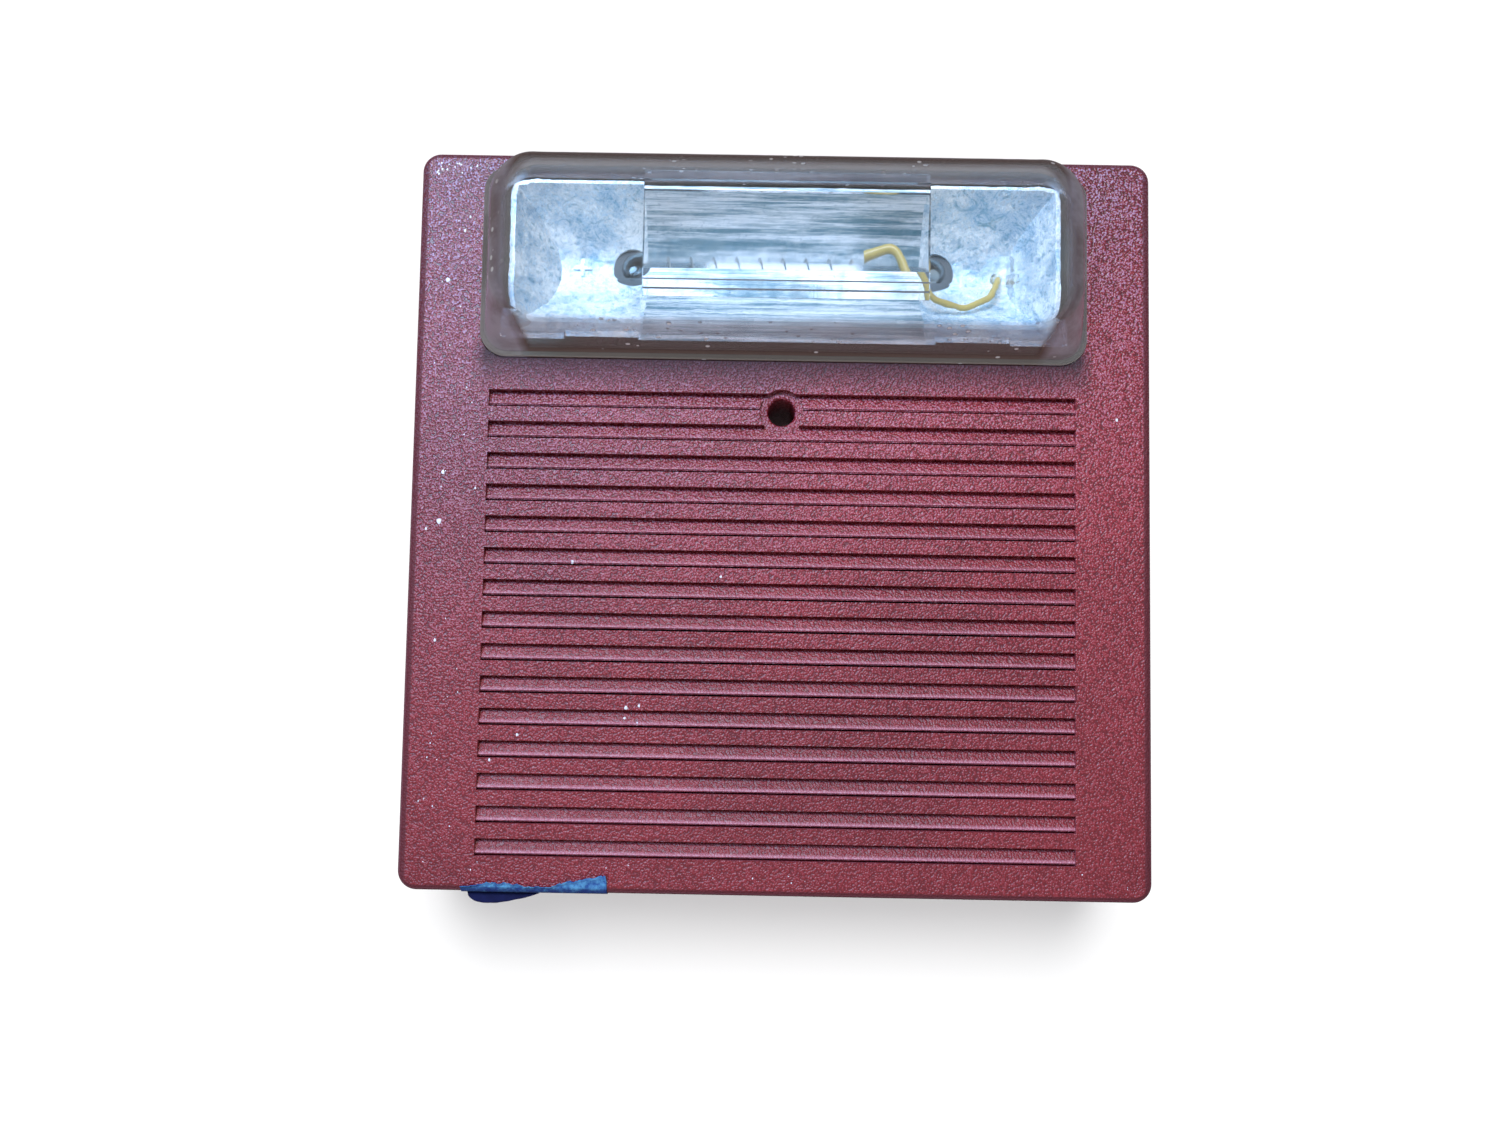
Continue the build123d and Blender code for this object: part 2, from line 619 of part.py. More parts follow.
with BuildPart() as capacitor_sleeve:
    with BuildSketch(Plane.YZ.offset(CAPACITOR_START + 1.2)):
        with Locations((-CAPACITOR_OUT, CAPACITOR_Z)):
            Circle(CAPACITOR_RADIUS + 0.25)
            Circle(CAPACITOR_RADIUS + 0.01, mode=Mode.SUBTRACT)
    extrude(amount=CAPACITOR_LENGTH - 2.0)
save(capacitor_sleeve.part, "capacitor_sleeve")

with BuildPart() as capacitor_seal:
    with BuildSketch(Plane.YZ.offset(CAPACITOR_START)):
        with Locations((-CAPACITOR_OUT, CAPACITOR_Z)):
            Circle(CAPACITOR_RADIUS - 0.8)
    extrude(amount=1.6)
save(capacitor_seal.part, "capacitor_seal")


def drum(x, z, radius, height, waist):
    """A ferrite drum core standing on the board."""
    rim = 1.2
    disc(x, z, radius, BOARD_BACK - rim, BOARD_BACK)
    disc(x, z, waist, BOARD_BACK - height + rim, BOARD_BACK - rim)
    disc(x, z, radius, BOARD_BACK - height, BOARD_BACK - height + rim)


def winding(x, z, radius, height, waist):
    """The copper between a drum core's rims."""
    rim = 1.2
    with BuildSketch(layer(BOARD_BACK - height + rim)) as ring:
        with Locations((x, z)):
            Circle(radius)
            Circle(waist, mode=Mode.SUBTRACT)
    extrude(ring.sketch, amount=height - 2 * rim)


INDUCTOR = (46.0, 2.0)
HORN_CORE = (-44.0, -4.0)
with BuildPart() as power_inductor_core:
    drum(*INDUCTOR, 6.0, 8.0, 2.6)
save(power_inductor_core.part, "power_inductor_core")
with BuildPart() as power_inductor_winding:
    winding(*INDUCTOR, 5.5, 8.0, 2.62)
save(power_inductor_winding.part, "power_inductor_winding")
with BuildPart() as horn_transformer_core:
    drum(*HORN_CORE, 6.0, 9.6, 2.6)
save(horn_transformer_core.part, "horn_transformer_core")
with BuildPart() as horn_transformer_winding:
    winding(*HORN_CORE, 5.6, 9.6, 2.62)
save(horn_transformer_winding.part, "horn_transformer_winding")

with BuildPart() as trigger_transformer:
    disc(50.0, 40.0, 4.2, BOARD_BACK - 10.0, BOARD_BACK)
    fillet(trigger_transformer.edges().filter_by(GeomType.CIRCLE).group_by(Axis.Y)[-1], 0.6)
save(trigger_transformer.part, "trigger_transformer")

with BuildPart() as power_transistor:
    block(-47.0, 40.0, 10.0, 9.2, BOARD_BACK - 4.9, BOARD_BACK - 0.5)
    chamfer(power_transistor.faces().sort_by(Axis.Y)[-1].edges(), 0.5)
    for x, z in PINS["transistor"]:
        block(x, 33.2, 0.7, 4.4, BOARD_BACK - 2.4, BOARD_BACK - 1.9)
        block(x, z, 0.5, 0.5, BOARD_BACK - 2.4, BOARD_BACK)
save(power_transistor.part, "power_transistor")

with BuildPart() as transistor_tab:
    block(-47.0, 47.8, 10.0, 6.4, BOARD_BACK - 1.3, BOARD_BACK)
    bore([(-47.0, 48.6)], 1.8, BOARD_BACK - 1.3, BOARD_BACK)
save(transistor_tab.part, "transistor_tab")

with BuildPart() as film_capacitor:
    block(16.0, 52.0, 18.0, 7.0, BOARD_BACK - 9.6, BOARD_BACK)
    fillet(film_capacitor.edges().filter_by(Axis.Y), 0.5)
save(film_capacitor.part, "film_capacitor")

with BuildPart() as small_film_capacitors:
    for z in (47.5, 54.0):
        block(-8.0, z, 7.2, 2.6, BOARD_BACK - 7.0, BOARD_BACK)
    fillet(small_film_capacitors.edges().filter_by(Axis.Y), 0.4)
save(small_film_capacitors.part, "small_film_capacitors")

with BuildPart() as electrolytic_capacitors:
    for z in (8.0, 20.0):
        disc(-30.0, z, 3.15, BOARD_BACK - 9.5, BOARD_BACK)
    fillet(electrolytic_capacitors.edges().filter_by(GeomType.CIRCLE).group_by(Axis.Y)[-1], 0.4)
save(electrolytic_capacitors.part, "electrolytic_capacitors")

CHIPS = {"microcontroller": (36.0, -22.0, 10.3, 8), "driver_chip": (-36.0, -24.0, 5.0, 4)}
CHIP_WIDTH = 7.5
CHIP_PIN_PITCH = 1.27
for name, (x, z, length, pins) in CHIPS.items():
    with BuildPart() as chip:
        block(x, z, length, CHIP_WIDTH, BOARD_BACK - 2.5, BOARD_BACK - 0.2)
        chamfer(chip.faces().sort_by(Axis.Y)[-1].edges(), 0.3)
        bore([(x - length / 2 + 1.1, z - CHIP_WIDTH / 2 + 1.1)], 0.5, BOARD_BACK - 2.5, BOARD_BACK - 2.4)
    save(chip.part, name)

with BuildPart() as chip_legs:
    for x, z, length, pins in CHIPS.values():
        for i in range(pins):
            leg_x = x + (i - (pins - 1) / 2) * CHIP_PIN_PITCH
            for side in (-1, 1):
                block(leg_x, z + side * (CHIP_WIDTH / 2 + 0.15), 0.42, 0.3, BOARD_BACK - 1.3, BOARD_BACK)
                block(leg_x, z + side * (CHIP_WIDTH / 2 + 0.7), 0.42, 1.2, BOARD_BACK - 0.25, BOARD_BACK)
save(chip_legs.part, "chip_legs")

# ---------------------------------------------------------------- terminal block
BAR_BACK = 7.65
BAR_FRONT = 8.65
CAGE_BACK = 6.5
CAGE_FRONT = 11.8
CHANNEL_WIDTH = 5.6
CHANNEL_HEIGHT = 4.4
with BuildPart() as terminal_block:
    block(0, TERMINAL_Z, POLES * POLE_PITCH + 0.3, TERMINAL_DEPTH, TERMINAL_BACK, BOARD_BACK)
    chamfer(terminal_block.edges().filter_by(Axis.X).group_by(Axis.Y)[-1], 1.2)
    for x in POLE_XS:
        block(x, TERMINAL_Z, CHANNEL_WIDTH, CHANNEL_HEIGHT, 2.2, BOARD_BACK, Mode.SUBTRACT)
        block(x, TERMINAL_Z, 3.44, 7.54, BAR_BACK - 0.02, BAR_FRONT + 0.02, Mode.SUBTRACT)
        block(x, TERMINAL_Z + 3.5, 1.24, 3.5, BAR_FRONT, BOARD_BACK, Mode.SUBTRACT)
        block(x, TERMINAL_Z - 4.0, 4.0, 3.8, BAR_FRONT + 0.1, 11.5, Mode.SUBTRACT)
        block(x, TERMINAL_Z - 5.1, 5.0, 0.9, BAR_FRONT - 0.3, 11.7, Mode.SUBTRACT)
    bore([(x, TERMINAL_Z) for x in POLE_XS], 1.75, TERMINAL_BACK, 2.2)
    # shallow grooves between the poles
    for i in range(POLES - 1):
        middle = POLE_XS[i] + POLE_PITCH / 2
        block(middle, TERMINAL_Z, 0.6, TERMINAL_DEPTH, TERMINAL_BACK, 1.8, Mode.SUBTRACT)
save(terminal_block.part, "terminal_block")

with BuildPart() as terminal_contacts:
    for x in POLE_XS:
        block(x, TERMINAL_Z, 3.4, 7.5, BAR_BACK, BAR_FRONT)
        block(x, TERMINAL_Z + 3.45, 1.1, 0.6, BAR_FRONT, 10.6)
        block(x, TERMINAL_Z + 3.9, 1.1, 1.5, 10.6, 11.2)
        disc(x, TERMINAL_Z + 4.6, 0.5, 11.2, BOARD_FRONT + 1.2)
save(terminal_contacts.part, "terminal_contacts")

for i, x in enumerate(POLE_XS):
    with BuildPart() as terminal_screw:
        disc(x, TERMINAL_Z, 1.95, 2.3, 3.7)
        disc(x, TERMINAL_Z, 1.4, 3.7, BAR_BACK - 0.05)
        block(x, TERMINAL_Z, 4.2, 0.6, 2.3, 3.0, Mode.SUBTRACT)
    save(terminal_screw.part, f"terminal_screw_{i + 1}")
    with BuildPart() as clamp_cage:
        block(x, TERMINAL_Z, CHANNEL_WIDTH - 0.2, CHANNEL_HEIGHT - 0.2, CAGE_BACK, CAGE_FRONT)
        block(x, TERMINAL_Z, 3.8, CHANNEL_HEIGHT, CAGE_BACK + 1.0, CAGE_FRONT - 0.7, Mode.SUBTRACT)
        bore([(x, TERMINAL_Z)], 1.45, CAGE_BACK, CAGE_BACK + 1.0)
    save(clamp_cage.part, f"clamp_cage_{i + 1}")

# ---------------------------------------------------------------- switches
DIP_BACK = 8.8
with BuildPart() as dip_switch_body:
    block(DIP_X, DIP_Z, 6.2, 11.6, DIP_BACK, BOARD_BACK)
    chamfer(dip_switch_body.faces().sort_by(Axis.Y)[-1].edges(), 0.2)
    for z in DIP_ZS:
        block(DIP_X, z, 1.2 + DIP_TRAVEL + 0.2, 1.44, DIP_BACK, DIP_BACK + 0.9, Mode.SUBTRACT)
save(dip_switch_body.part, "dip_switch_body")
for i, z in enumerate(DIP_ZS):
    with BuildPart() as dip_slider:
        block(DIP_X - DIP_TRAVEL / 2, z, 1.2, 1.3, 8.0, DIP_BACK + 0.8)
    save(dip_slider.part, f"dip_slider_{i + 1}")

CANDELA_BACK = 7.0
with BuildPart() as candela_switch_body:
    block(CANDELA_X, CANDELA_Z, 16.0, 7.0, CANDELA_BACK, BOARD_BACK)
    chamfer(candela_switch_body.faces().sort_by(Axis.Y)[-1].edges(), 0.3)
    slot_width = 3.0 + CANDELA_TRAVEL + 0.3
    block(CANDELA_X, CANDELA_Z, slot_width, 3.2, CANDELA_BACK, CANDELA_BACK + 1.6, Mode.SUBTRACT)
save(candela_switch_body.part, "candela_switch_body")
with BuildPart() as candela_knob:
    block(CANDELA_X - CANDELA_TRAVEL / 2, CANDELA_Z, 3.0, 3.0, 4.4, CANDELA_BACK + 1.5)
    for dx in (-0.8, 0, 0.8):
        block(CANDELA_X - CANDELA_TRAVEL / 2 + dx, CANDELA_Z, 0.3, 3.2, 4.4, 4.7, Mode.SUBTRACT)
save(candela_knob.part, "candela_knob")


# ---------------------------------------------------------------- sounder
def turned(rings):
    """Round walls about the sounder's axis: each has an inner and an outer radius, a start and a stop."""
    for inner, outer, start, stop in rings:
        with BuildSketch(layer(start)) as ring:
            with Locations((0, SOUNDER_Z)):
                Circle(outer)
                if inner:
                    Circle(inner, mode=Mode.SUBTRACT)
        extrude(ring.sketch, amount=stop - start)


HOUSING_RADIUS = 37.0
HOUSING_BORE = 35.4
HOUSING_BACK = 16.6
PORT_RADIUS = 7.0
SEAT = (18.6, 20.9)
DIAPHRAGM_RADIUS = 20.4
DIAPHRAGM_BACK = 19.15
DIAPHRAGM_THICKNESS = 0.25
PIEZO_RADIUS = 14.5
SEAL_BACK = 18.3
with BuildPart() as sounder_housing:
    turned(
        [
            (HOUSING_BORE, HOUSING_RADIUS, HOUSING_BACK, 26.6),
            (PORT_RADIUS, HOUSING_RADIUS, 21.9, 23.4),
            (*SEAT, DIAPHRAGM_BACK + DIAPHRAGM_THICKNESS, 21.9),
        ]
    )
    for angle, (x, z) in zip(EAR_ANGLES, SOUNDER_EARS):
        disc(x, z, 3.0, 20.9, GUIDE_END - 0.1)
        with BuildSketch(layer(20.9)):
            with Locations(Location((0, SOUNDER_Z), angle)):
                with Locations((HOUSING_RADIUS + 1.5, 0)):
                    Rectangle(5.4, 5.0)
        extrude(amount=GUIDE_END - 0.1 - 20.9)
    bore(SOUNDER_EARS, 1.2, 20.9, GUIDE_END)
save(sounder_housing.part, "sounder_housing")

with BuildPart() as sounder_back_cover:
    turned([(0, HOUSING_BORE - 0.05, HOUSING_BACK, 17.8), (SEAT[0], 20.4, 17.8, SEAL_BACK)])
    bore([(SOUNDER_LEAD_ENDS[0][0], SOUNDER_Z)], 2.2, HOUSING_BACK, 17.8)
    bore([(SOUNDER_LEAD_ENDS[1][0], SOUNDER_Z)], 1.2, HOUSING_BACK, 17.8)
save(sounder_back_cover.part, "sounder_back_cover")

with BuildPart() as sounder_diaphragm:
    turned([(0, DIAPHRAGM_RADIUS, DIAPHRAGM_BACK, DIAPHRAGM_BACK + DIAPHRAGM_THICKNESS)])
save(sounder_diaphragm.part, "sounder_diaphragm")

with BuildPart() as piezo_disc:
    turned([(0, PIEZO_RADIUS, DIAPHRAGM_BACK - 0.25, DIAPHRAGM_BACK)])
save(piezo_disc.part, "piezo_disc")

with BuildPart() as sounder_seal:
    turned([(SEAT[0], 20.4, SEAL_BACK, DIAPHRAGM_BACK)])
save(sounder_seal.part, "sounder_seal")

with BuildPart() as dust_screen:
    turned([(0, GUIDE_RADIUS - 0.3, INNER_FACE - 0.3, INNER_FACE)])
save(dust_screen.part, "dust_screen")

screws("sounder_screws", SOUNDER_EARS, 2.0, 19.5, 20.9, 0.95, INNER_FACE)

SOUNDER_LEAD_RADIUS = 0.4
red_lead_points = [
    at(4.0, 18.45, SOUNDER_Z),
    at(9.6, 18.45, SOUNDER_Z),
    at(11.5, 16.0, SOUNDER_Z),
    at(11.5, BOARD_BACK - 0.8, SOUNDER_Z),
]
save(wire(red_lead_points, SOUNDER_LEAD_RADIUS, [1.3, 1.3]), "sounder_lead_red")
with BuildPart() as sounder_lead_black:
    disc(*SOUNDER_LEAD_ENDS[1], SOUNDER_LEAD_RADIUS, BOARD_BACK - 0.8, DIAPHRAGM_BACK)
save(sounder_lead_black.part, "sounder_lead_black")
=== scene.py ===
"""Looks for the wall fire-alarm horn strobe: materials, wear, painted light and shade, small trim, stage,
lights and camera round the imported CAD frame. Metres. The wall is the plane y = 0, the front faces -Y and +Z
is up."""
import math
import random

import bmesh
import bpy
from mathutils import Matrix, Vector, noise


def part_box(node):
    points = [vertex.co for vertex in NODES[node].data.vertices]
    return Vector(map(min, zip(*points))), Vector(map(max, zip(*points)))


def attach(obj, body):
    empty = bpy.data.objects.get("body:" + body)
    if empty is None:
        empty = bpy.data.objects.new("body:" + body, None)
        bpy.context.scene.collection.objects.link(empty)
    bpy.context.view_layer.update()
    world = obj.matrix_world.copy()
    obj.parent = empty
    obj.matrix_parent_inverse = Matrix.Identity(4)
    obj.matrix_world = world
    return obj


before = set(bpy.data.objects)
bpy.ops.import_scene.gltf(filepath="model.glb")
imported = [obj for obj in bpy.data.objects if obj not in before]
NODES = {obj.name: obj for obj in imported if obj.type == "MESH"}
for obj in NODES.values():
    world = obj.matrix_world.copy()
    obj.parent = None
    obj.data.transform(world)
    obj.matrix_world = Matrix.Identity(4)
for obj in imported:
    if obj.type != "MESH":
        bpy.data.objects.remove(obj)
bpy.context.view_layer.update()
MM = 0.001


# ---------------------------------------------------------------- material building
class Look:
    """A material with a Principled shader, and short calls for the nodes that feed it."""

    def __init__(self, name, **values):
        self.material = bpy.data.materials.new(name)
        self.material.use_nodes = True
        self.tree = self.material.node_tree
        self.shader = self.tree.nodes["Principled BSDF"]
        self.output = self.tree.nodes["Material Output"]
        self.place = self.node("TexCoord").outputs["Object"]
        self.set(self.shader, **{key.replace("_", " "): value for key, value in values.items()})

    def set(self, node, **values):
        """Links or sets a node's inputs by their names, or by their numbers as i0, i1 and so on."""
        for key, value in values.items():
            socket = node.inputs[int(key[1:]) if key[0] == "i" and key[1:].isdigit() else key]
            if isinstance(value, bpy.types.NodeSocket):
                self.tree.links.new(value, socket)
            else:
                socket.default_value = value

    def node(self, kind, values=None, **settings):
        node = self.tree.nodes.new("ShaderNode" + kind)
        for key, value in settings.items():
            setattr(node, key, value)
        self.set(node, **(values or {}))
        return node

    def stretched(self, scale):
        """Object coordinates scaled by a different amount along each axis."""
        return self.node("Mapping", {"Vector": self.place, "Scale": scale}).outputs["Vector"]

    def noise(self, scale, detail=3.0, roughness=0.55, place=None, distortion=0.0):
        values = {
            "Vector": place or self.place,
            "Scale": scale,
            "Detail": detail,
            "Roughness": roughness,
            "Distortion": distortion,
        }
        return self.node("TexNoise", values).outputs["Fac"]

    def cells(self, scale, feature="SMOOTH_F1", place=None):
        values = {"Vector": place or self.place, "Scale": scale}
        return self.node("TexVoronoi", values, feature=feature).outputs["Distance"]

    def spread(self, value, low, high, start=0.0, stop=1.0):
        """value, stretched from low..high to start..stop and held there."""
        values = {"Value": value, "From Min": low, "From Max": high, "To Min": start, "To Max": stop}
        return self.node("MapRange", values).outputs["Result"]

    def math(self, operation, first, second=0.0):
        return self.node("Math", {"i0": first, "i1": second}, operation=operation).outputs[0]

    def mix(self, share, first, second):
        values = {"Factor": share, "i6": first, "i7": second}
        return self.node("Mix", values, data_type="RGBA").outputs["Result"]

    def axis(self, name):
        return self.node("SeparateXYZ", {"Vector": self.place}).outputs[name]

    def bump(self, height, distance, strength=1.0, normal=None):
        values = {"Height": height, "Distance": distance, "Strength": strength}
        if normal:
            values["Normal"] = normal
        return self.node("Bump", values).outputs["Normal"]

    def finish(self, **values):
        self.set(self.shader, **{key.replace("_", " "): value for key, value in values.items()})
        return self.material

    def lit_through(self, tint):
        """Lets light through to what is behind, tinted, where a refracting shell would stop it."""
        clear = self.node("BsdfTransparent", {"Color": tint})
        shadow = self.node("LightPath").outputs["Is Shadow Ray"]
        blend = self.node("MixShader", {"i0": shadow, "i1": self.shader.outputs[0], "i2": clear.outputs[0]})
        self.tree.links.new(blend.outputs[0], self.output.inputs["Surface"])


def colour(red, green, blue):
    return (red, green, blue, 1.0)


# ---------------------------------------------------------------- places that the looks share
COVER_LOW, COVER_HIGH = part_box("front_cover")
COVER_FACE = COVER_LOW.y
COVER_FOOT = COVER_LOW.z
COVER_HALF = COVER_HIGH.x

# the lens dome's lower edge and half width: its node's box also takes in the flange behind the cover
LENS_FOOT = 28.9 * MM
LENS_HALF = 54.8 * MM

# the lens's dustier ends: where they begin and where the film is at its full strength, out from the middle
ENDS_BEGIN = 44.8 * MM
ENDS_FULL = 47.4 * MM

# half the length of the reflector's trough behind the tube, between its slanted ends
TROUGH_HALF = 25.3 * MM

# the tube's painted highlight in its middle, the step to clear glass, and where its dark ends begin, out from
# the middle
HIGHLIGHT_HALF = 12.0 * MM
CLEAR_FROM = 14.5 * MM
SOOTY_FROM = 16.5 * MM

# the louvres: top of the first, spacing, half width, height of a recess's floor, and its two depths
LOUVRE_TOP = 22.9 * MM
LOUVRE_PITCH = 5.73 * MM
LOUVRE_HALF_WIDTH = 53.0 * MM
FLOOR_HEIGHT = 2.75 * MM
RECESS_DEPTH = 1.45 * MM
LIP_DEPTH = 0.4 * MM


# ---------------------------------------------------------------- materials
def lip_band(look, depth):
    """1 on the rounded lip under each louvre, which lies a little behind the cover's face, else 0: where a
    highlight is painted.
    """
    past_face = look.spread(depth, COVER_FACE + 0.20 * MM, COVER_FACE + 0.34 * MM)
    before_floor = look.spread(depth, COVER_FACE + 0.66 * MM, COVER_FACE + 0.46 * MM)
    return look.math("MULTIPLY", past_face, before_floor)


def edge_shade_band(look, across, depth, height):
    """1 round the cover's rounded front edge and down its sides, fading towards the wall.
    The mask for the painted shade on the edges, which turn away from the light.
    """
    facing = look.node("SeparateXYZ", {"Vector": look.node("NewGeometry").outputs["Normal"]}).outputs["Y"]
    turned = look.spread(facing, -0.9998, -0.985)
    at_edge = look.spread(depth, COVER_FACE + 0.02 * MM, COVER_FACE + 0.06 * MM)
    reach = look.math("MAXIMUM", look.math("ABSOLUTE", across), look.math("ABSOLUTE", height))
    outside = look.spread(reach, COVER_HALF - 5.0 * MM, COVER_HALF - 4.0 * MM)
    rounded = look.math("MULTIPLY", look.math("MULTIPLY", turned, at_edge), outside)
    side = look.spread(look.math("ABSOLUTE", across), COVER_HALF - 1.65 * MM, COVER_HALF - 1.35 * MM)
    fading = look.spread(depth, COVER_FACE + 1.4 * MM, COVER_FACE + 5.0 * MM, 1.0, 0.3)
    return look.math("MULTIPLY", look.math("MAXIMUM", rounded, side), fading)


def shadow_under_lens(look, across, height):
    """The mask for a painted shadow under the lens: rises to 0.92 just under it, as wide as the lens, and
    stays off the face above it.
    """
    below_lens = look.spread(height, LENS_FOOT - 6.5 * MM, LENS_FOOT + 0.3 * MM, 0.0, 0.92)
    beside = look.spread(look.math("ABSOLUTE", across), LENS_HALF - 1.0 * MM, LENS_HALF + 1.6 * MM, 1.0, 0.0)
    behind_lens = look.spread(height, LENS_FOOT + 1.5 * MM, LENS_FOOT + 3.5 * MM, 1.0, 0.0)
    return look.math("MULTIPLY", look.math("MULTIPLY", below_lens, beside), behind_lens)


def red_abs():
    """Moulded red ABS: a fine leathery grain under a thin film of grey dust, with light and shade painted on.

    The grain's pale tips are dust and painted glints, more of them towards the top, and up and to the left
    they carry a painted bluish sheen; the hollows between them hold painted shade. The louvres' lips carry a
    painted highlight, and their recesses, the rounded edges and sides, and the strip under the lens carry
    painted shade;
    the face darkens towards the bottom, also painted shade."""
    look = Look("red_abs", IOR=1.5, Specular_IOR_Level=0.5)
    across, depth, height = look.axis("X"), look.axis("Y"), look.axis("Z")

    patches = look.spread(look.noise(22.0, 4.0, 0.6), 0.38, 0.62)
    body = look.mix(patches, colour(0.190, 0.005, 0.009), colour(0.290, 0.015, 0.020))
    # painted shade: the face darkens towards the bottom
    body = look.mix(look.spread(height, 0.02, -0.06, 0.0, 0.34), body, colour(0.135, 0.003, 0.006))

    leather = look.cells(2900.0)
    pores = look.noise(2400.0, 1.0, 0.5)
    tips = look.math("ADD", look.spread(leather, 0.62, 0.16), look.math("MULTIPLY", pores, 1.1))
    grain = look.bump(tips, 0.10 * MM, 1.0)

    # painted sheen and glints: the grain's tips are dust and painted glints, more towards the top, and turn
    # paler and bluer up and to the left
    up_and_left = look.math("SUBTRACT", height, look.math("MULTIPLY", across, 0.28))
    sheen_up_left = look.spread(up_and_left, -0.02, 0.074)
    rising = look.spread(height, -0.060, 0.060, 0.18, 0.54)
    dust_and_glint_share = look.math("ADD", rising, look.math("MULTIPLY", sheen_up_left, 0.16))
    dust_and_glints = look.math("MULTIPLY", look.spread(tips, 0.98, 1.46), dust_and_glint_share)
    body = look.mix(dust_and_glints, body, look.mix(sheen_up_left, colour(0.46, 0.095, 0.125), colour(0.40, 0.37, 0.56)))

    # painted shade in the grain's hollows between the tips, stronger towards the top
    more_shade_up = look.spread(height, -0.06, 0.06, 0.50, 0.88)
    hollow_shade = look.math("MULTIPLY", look.spread(tips, 0.52, 1.04, 1.0, 0.0), more_shade_up)
    body = look.mix(hollow_shade, body, colour(0.045, 0.002, 0.006))

    # painted shade deep in the louvres' recesses
    sunk = look.spread(depth, COVER_FACE + 0.3 * MM, COVER_FACE + 1.4 * MM, 0.0, 0.14)
    body = look.mix(sunk, body, colour(0.085, 0.003, 0.007))
    # painted highlight on the louvres' lips, stronger towards the bottom
    lip_highlight = look.math("MULTIPLY", lip_band(look, depth), look.spread(height, 0.02, -0.05, 0.22, 0.68))
    body = look.mix(lip_highlight, body, colour(0.56, 0.20, 0.25))
    # painted shade on the rounded edges and sides
    edge = edge_shade_band(look, across, depth, height)
    body = look.mix(look.math("MULTIPLY", edge, 0.82), body, colour(0.075, 0.002, 0.006))
    # painted shadow in the strip under the lens
    strip = shadow_under_lens(look, across, height)
    body = look.mix(strip, body, colour(0.022, 0.004, 0.008))

    dull = look.math("MAXIMUM", edge, look.math("MAXIMUM", strip, sunk))
    smoother_up = look.spread(height, -0.060, 0.055, 0.44, 0.35)
    rough = look.math("ADD", smoother_up, look.math("MULTIPLY", dull, 0.30))
    return look.finish(Base_Color=body, Normal=grain, Roughness=rough)


def clear_lens():
    """Clear polycarbonate under a film of dust, thickest at its rim, towards its ends and seen edge-on."""
    look = Look("clear_polycarbonate", IOR=1.22)
    wipes = look.noise(60.0, 5.0, 0.65, look.stretched((0.5, 1.0, 1.6)))
    scratches = look.noise(900.0, 3.0, 0.6, look.stretched((0.12, 1.0, 1.0)))
    edge_on = look.node("LayerWeight", {"Blend": 0.5}).outputs["Facing"]
    out = look.axis("Y")

    film = look.spread(edge_on, 0.26, 0.92, 0.0, 0.74)
    film = look.math("ADD", film, look.spread(wipes, 0.4, 0.7, 0.0, 0.05))
    rim = look.spread(out, COVER_FACE - 3.2 * MM, COVER_FACE - 0.9 * MM, 0.0, 0.38)
    ends = look.spread(look.math("ABSOLUTE", look.axis("X")), ENDS_BEGIN, ENDS_FULL, 0.0, 0.46)
    ends = look.math("MULTIPLY", ends, look.spread(wipes, 0.36, 0.62, 0.55, 1.1))
    film = look.math("ADD", film, look.math("MAXIMUM", rim, ends))

    sparse = look.spread(look.noise(90.0, 2.0, 0.5), 0.52, 0.56)
    specks = look.math("MULTIPLY", look.spread(look.cells(420.0, "F1"), 0.20, 0.14), sparse)
    specks = look.math("MULTIPLY", specks, look.spread(edge_on, 0.25, 0.45))
    film = look.math("MINIMUM", look.math("ADD", film, look.math("MULTIPLY", specks, 0.7)), 0.96)

    tone = look.mix(look.spread(film, 0.05, 0.45), colour(0.90, 0.91, 0.92), colour(0.245, 0.170, 0.150))
    tone = look.mix(look.spread(ends, 0.15, 0.46, 0.0, 0.8), tone, colour(0.50, 0.47, 0.55))
    # painted highlight: a pale line along the lens's lip, just in front of the cover
    off_cover = look.spread(out, COVER_FACE - 0.25 * MM, COVER_FACE - 0.45 * MM)
    lip = look.math("MULTIPLY", look.spread(out, COVER_FACE - 1.15 * MM, COVER_FACE - 0.9 * MM), off_cover)
    tone = look.mix(look.math("MULTIPLY", lip, 0.7), tone, colour(0.62, 0.61, 0.56))
    tone = look.mix(specks, tone, colour(0.75, 0.74, 0.76))

    clear = look.math("SUBTRACT", 0.99, film)
    rough = look.spread(wipes, 0.35, 0.75, 0.03, 0.12)
    marks = look.bump(scratches, 0.012 * MM, 0.5)
    look.finish(Base_Color=tone, Transmission_Weight=clear, Roughness=rough, Normal=marks)
    look.lit_through(colour(0.92, 0.92, 0.93))
    return look.material


